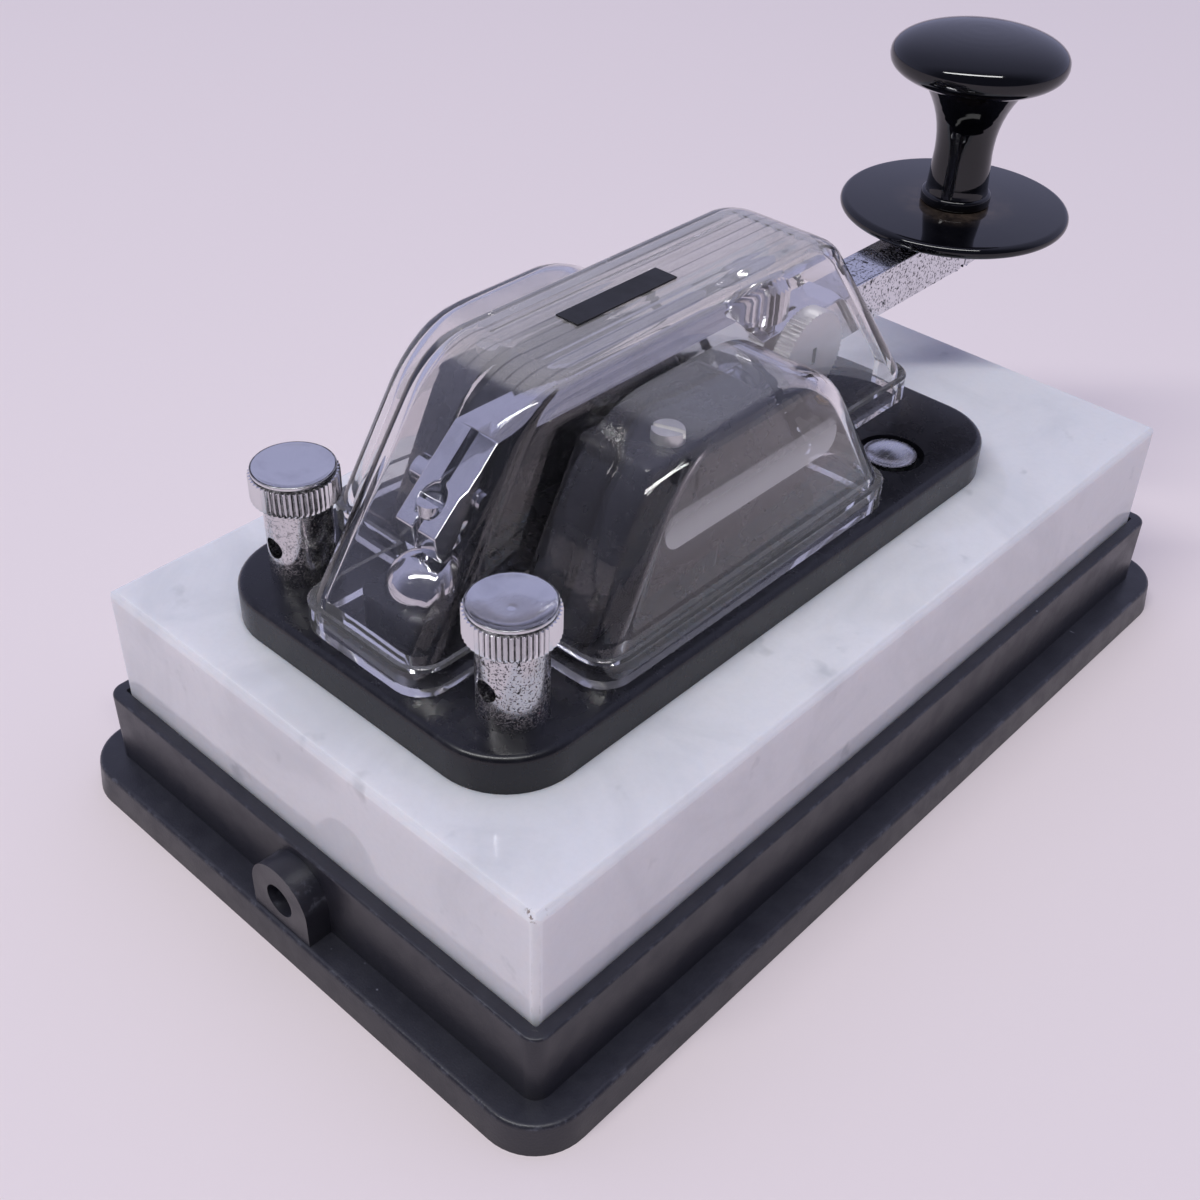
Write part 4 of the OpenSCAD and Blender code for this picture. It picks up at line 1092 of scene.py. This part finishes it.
@dataclass
class Terminals(Assembly):
    """The two terminal posts and their knurled heads.

    dirt_in is how far in from a head's rim the dirt in its grooves is full, ends outside and ends inside.
    """

    head_d: float = 13.1 * MM
    head_h: float = 5.0 * MM
    bore_d: float = 4.16 * MM
    bore_h: float = 3.0 * MM
    foot_bevel: float = 0.25 * MM
    lip_in: float = 0.39 * MM
    lip_h: float = 0.5 * MM
    neck_in: float = 0.62 * MM
    shoulder: float = 0.95 * MM
    rim: float = 0.35 * MM
    dish: float = 1.0 * MM
    pip: float = 0.08 * MM
    pip_r: float = 0.35 * MM
    teeth: int = 48
    tooth: float = 0.55 * MM
    tooth_points: int = 6
    bowl_rings: int = 28
    bowl_power: float = 3.6
    pole: float = 0.05 * MM
    step: float = 0.1 * MM
    ease: float = 0.06 * MM
    margin: float = 0.05 * MM
    dirt_in: Triple = (0.52 * MM, 0.36 * MM, 0.68 * MM)
    worn_side: Zone = Zone(Axis.X, -30.0 * MM, -12.0 * MM, 0.45)

    def profile(self) -> np.ndarray:
        """Radius and height from the bore's roof down, out and up the side, and over the lip into the dish.

        The dish is deepest at the axis and rises with a power of the radius, and a bell curve adds the pip.

        Returns:
            Points of shape (rows, 2).
        """
        r, h, bore = self.head_d / 2, self.head_h, self.bore_d / 2
        lip, neck = r - self.lip_in, r - self.neck_in
        inner = lip - self.rim
        side = eased([(self.pole, self.bore_h), (bore, self.bore_h), (bore, 0.0), (r - self.foot_bevel, 0.0),
                      (r, self.foot_bevel), (r, h - self.shoulder), (neck, h - self.shoulder + self.step),
                      (neck, h - self.lip_h - self.step), (lip, h - self.lip_h), (lip, h - self.step),
                      (lip - self.step, h), (inner, h)], self.ease)
        out = np.linspace(1.0, self.pole / inner, self.bowl_rings)
        pip = self.pip * np.exp(-((out * inner / self.pip_r) ** 2))
        bowl = h - self.dish * (1.0 - out**self.bowl_power) + pip
        return np.concatenate([side, np.stack([out * inner, bowl], axis=-1)[1:]])

    def knurled(self, name: str, centre: Vector) -> bpy.types.Object:
        """A head: the turned profile, cut below its shoulder by straight grooves of V section.

        A ring's radius is the profile's, or the groove's where that is less, and the groove's is the
        head's radius less a triangle wave of the angle.

        Args:
            name: the piece's name.
            centre: middle of its foot.

        Returns:
            The new piece.
        """
        profile = self.profile()
        columns = self.teeth * self.tooth_points
        angle = np.linspace(0.0, 2.0 * math.pi, columns, endpoint=False)
        wave = 1.0 - np.abs(2.0 * np.mod(self.teeth * angle / (2.0 * math.pi), 1.0) - 1.0)
        groove = self.head_d / 2 - self.tooth * wave
        radius = np.repeat(profile[:, :1], columns, axis=1)
        knurl = profile[:, 1:] < self.head_h - self.shoulder + self.margin
        radius = np.where(knurl, np.minimum(radius, groove), radius)
        height = np.repeat(profile[:, 1:], columns, axis=1)
        rings = np.stack([radius * np.cos(angle), radius * np.sin(angle), height], axis=-1)
        return closed_tube(rings + np.array(centre), name)

    def build(self) -> None:
        """Dresses the posts and makes the heads."""
        worn = BrightPlate("plating_worn", bright=(0.64, 0.63, 0.64), cloud=(0.40, 0.36, 0.33),
                           rough=(0.06, 0.14), worn=1.25, zone=self.worn_side)
        self.dress(worn.material(), "terminal_posts")
        for side in Side:
            node = f"terminal_head_{side.value}"
            low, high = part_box(node)
            centre = Vector(((low.x + high.x) / 2, (low.y + high.y) / 2, low.z))
            head = self.knurled(f"knurled_head_{side.value}", centre)
            self.shading.apply(head)
            grooves = Ring(centre.x, centre.y, *(self.head_d / 2 - inset for inset in self.dirt_in))
            finish = BrightPlate(f"plating_knurled_{side.value}", bright=(0.74, 0.74, 0.75),
                                 cloud=(0.44, 0.44, 0.46), rough=(0.1, 0.2), grime=grooves)
            self.finish_piece(head, finish.material(), f"head_{side.value}", "nickel", node)


@dataclass
class Lever(Assembly):
    """The lever with its contacts, adjusters, spring and knob.

    end_rise is the climb of the spring's end turns, in wires. film_ring is the reach of the brown film
    round the knob's foot.
    """

    spring_d: float = 6.6 * MM
    wire: float = 0.8 * MM
    turns: float = 4.5
    end_turns: float = 0.75
    sides: int = 16
    steps: int = 360
    keep: float = 0.962
    end_rise: float = 1.5
    bar_edge: float = 0.3 * MM
    worn_end: Zone = Zone(Axis.Y, -80.0 * MM, -44.0 * MM, 0.0, 8.0 * MM)
    film_ring: Span = (6.5 * MM, 12.5 * MM)
    knob_black: Colour = (0.0018, 0.0018, 0.003)
    knob_grain: float = 0.001 * MM

    def coil(self) -> bpy.types.Object:
        """The return spring: a round wire along a helix that climbs slowly in its end turns.

        Round each point of the helix, the wire's surface is its radius times the cosine of an angle outwards
        and the sine of it upwards.

        Returns:
            The new piece.
        """
        low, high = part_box("return_spring")
        start, end = low.z + self.wire / 2, high.z - self.wire / 2
        centre = (low + high) / 2
        turn = np.linspace(0.0, self.turns, self.steps)
        rise = self.end_rise * self.wire
        knots = np.array([0.0, self.end_turns, self.turns - self.end_turns, self.turns])
        height = np.interp(turn, knots, np.array([start, start + rise, end - rise, end]))
        angle = 2.0 * math.pi * turn
        out = np.stack([np.cos(angle), np.sin(angle), np.zeros_like(angle)], axis=-1)
        line = np.array([centre.x, centre.y, 0.0]) + out * self.spring_d / 2
        line[:, 2] = height
        section = np.linspace(0.0, -2.0 * math.pi, self.sides, endpoint=False)
        up = np.array([0.0, 0.0, 1.0])
        ring = out[:, None, :] * np.cos(section)[None, :, None] + up * np.sin(section)[None, :, None]
        return closed_tube(line[:, None, :] + ring * self.wire / 2, "coil_spring")

    def build(self, plating: bpy.types.Material, brass: bpy.types.Material) -> None:
        """Dresses the moving pieces and makes the spring.

        Args:
            plating: bright plating.
            brass: brass for the upper contact.
        """
        low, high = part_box("knob_skirt")
        foot = Ring((low.x + high.x) / 2, (low.y + high.y) / 2, *self.film_ring)
        bar = BrightPlate("lever_plating", rough=(0.04, 0.10), worn=0.9, fine=2200.0, coarse=700.0,
                          zone=self.worn_end)
        gloss = BlackMoulding("knob_gloss", black=self.knob_black, rough=(0.03, 0.06),
                              grain=self.knob_grain, dusty=0.004)
        skirt = BlackMoulding("skirt_gloss", black=self.knob_black, rough=(0.04, 0.09),
                              grain=self.knob_grain, dusty=0.01, soil=foot)
        satin = BrightPlate("plating_satin", bright=(0.68, 0.68, 0.70), rough=(0.3, 0.42))
        steel = BrightPlate("spring_wire", bright=(0.55, 0.55, 0.57), rough=(0.2, 0.34))
        self.dress(bar.material(), "lever_bar", soft=self.bar_edge)
        self.dress(plating, "gap_screw", "gap_clamp_screw", "tension_screw", "spring_cap", "knob_screw")
        self.dress(satin.material(), "clamp_wheel")
        self.dress(brass, "upper_contact")
        self.dress(gloss.material(), "knob_boss", "knob")
        self.dress(skirt.material(), "knob_skirt")
        spring = self.coil()
        low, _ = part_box("return_spring")
        self.finish_piece(spring, steel.material(), "base", "spring_steel", "return_spring")
        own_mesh(spring)


@dataclass
class DustCover(Assembly):
    """The clear cover and the bare strip on its top."""

    def build(self) -> None:
        """Dresses the cover."""
        self.dress(ClearMoulding().material(), "dust_cover")
        strip = BlackMoulding("strip_plain", black=(0.008, 0.0078, 0.009), rough=(0.5, 0.62),
                              grain=0.02 * MM, dusty=0.01)
        self.dress(strip.material(), "cover_label")


@dataclass(frozen=True)
class Sky:
    """A soft room: pale ahead of the camera and overhead, dim behind the camera.

    The light fades between two places along the direction ahead, from dim to pale.
    """

    tint: Colour = (0.93, 0.95, 1.42)
    ahead: Triple = (0.666, -0.746, 0.0)
    dim: float = 0.095
    dim_to: float = -0.6
    pale: float = 0.45
    pale_from: float = 0.2

    def build(self) -> None:
        """Makes the sky the scene's world."""
        world = bpy.data.worlds.new("sky")
        g = Graph(world, "Generated")
        light = g.add("ShaderNodeBackground")
        g.put(light.inputs["Color"], self.tint)
        strength = g.fade(g.along(self.ahead), self.dim_to, self.pale_from, self.dim, self.pale)
        g.put(light.inputs["Strength"], strength)
        g.show(light.outputs[0])
        bpy.context.scene.world = world


@dataclass(frozen=True)
class Lamp:
    """A flat lamp that hangs in one direction from the object and faces it, with its length near a line."""

    name: str
    toward: Triple
    line: Triple
    distance: float
    length: float
    breadth: float
    power: float

    def build(self) -> None:
        """Hangs the lamp."""
        data = bpy.data.lights.new(self.name, "AREA")
        data.shape, data.energy = "RECTANGLE", self.power
        data.size, data.size_y = self.length, self.breadth
        back = Vector(self.toward).normalized()
        breadth = back.cross(Vector(self.line)).normalized()
        lamp = bpy.data.objects.new(self.name, data)
        turn = Matrix((breadth.cross(back), breadth, back)).transposed().to_4x4()
        lamp.matrix_world = Matrix.Translation(back * self.distance) @ turn
        bpy.context.scene.collection.objects.link(lamp)


@dataclass(frozen=True)
class Studio:
    """The floor, the light and the camera at the photograph's viewing angle."""

    place: Triple = (-0.130161, 0.164812, 0.182279)
    azimuth: float = math.radians(221.73)
    elevation: float = math.radians(38.197)
    roll: float = math.radians(1.964)
    lens: float = 45.614
    sensor: float = 36.0
    nearest: float = 0.005
    floor: Colour = (0.865, 0.77, 0.765)
    floor_rough: float = 0.8
    floor_shine: float = 0.2
    floor_reach: float = 30.0
    tube: Lamp = Lamp("tube", toward=(-0.12, 0.42, 0.90), line=(-0.746, -0.666, 0.0), distance=3.0,
                      length=3.3, breadth=0.28, power=61.5)

    def set_camera(self) -> None:
        """Places the camera: it looks down from behind the terminals, a little rolled."""
        az, el = self.azimuth, self.elevation
        back = Vector((math.sin(az) * math.cos(el), -math.cos(az) * math.cos(el), math.sin(el)))
        right = Vector((math.cos(az), math.sin(az), 0.0))
        up = back.cross(right)
        across = right * math.cos(self.roll) + up * math.sin(self.roll)
        upward = up * math.cos(self.roll) - right * math.sin(self.roll)
        data = bpy.data.cameras.new("camera")
        data.lens, data.sensor_width, data.clip_start = self.lens, self.sensor, self.nearest
        camera = bpy.data.objects.new("camera", data)
        turn = Matrix((across, upward, back)).transposed().to_4x4()
        camera.matrix_world = Matrix.Translation(self.place) @ turn
        bpy.context.scene.collection.objects.link(camera)
        bpy.context.scene.camera = camera

    def set_floor(self) -> None:
        """Lays a plain pale floor that runs out of sight."""
        reach = self.floor_reach
        corners = [(-reach, -reach, 0.0), (reach, -reach, 0.0), (reach, reach, 0.0), (-reach, reach, 0.0)]
        mesh = bpy.data.meshes.new("floor")
        mesh.from_pydata(corners, [], [(0, 1, 2, 3)])
        floor = bpy.data.objects.new("floor", mesh)
        bpy.context.scene.collection.objects.link(floor)
        g = Graph.finish("floor_paper")
        g.shade(Base_Color=self.floor, Roughness=self.floor_rough, Specular_IOR_Level=self.floor_shine)
        mesh.materials.append(g.owner)

    def build(self) -> None:
        """Sets the whole stage."""
        self.set_camera()
        self.set_floor()
        Sky().build()
        self.tube.build()
        bpy.context.scene.view_settings.view_transform = "Standard"


def main() -> None:
    """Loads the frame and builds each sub-assembly."""
    logging.basicConfig(level=logging.INFO, format="%(name)s: %(message)s")
    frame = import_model()
    nodes, shading = frame["nodes"], Shading()
    plating = BrightPlate("plating_bright").material()
    brass = PlainBrass().material()
    Studio().build()
    Foundation(nodes, shading).build(plating, brass)
    Terminals(nodes, shading).build()
    Lever(nodes, shading).build(plating, brass)
    DustCover(nodes, shading).build()


if __name__ == "__main__":
    main()
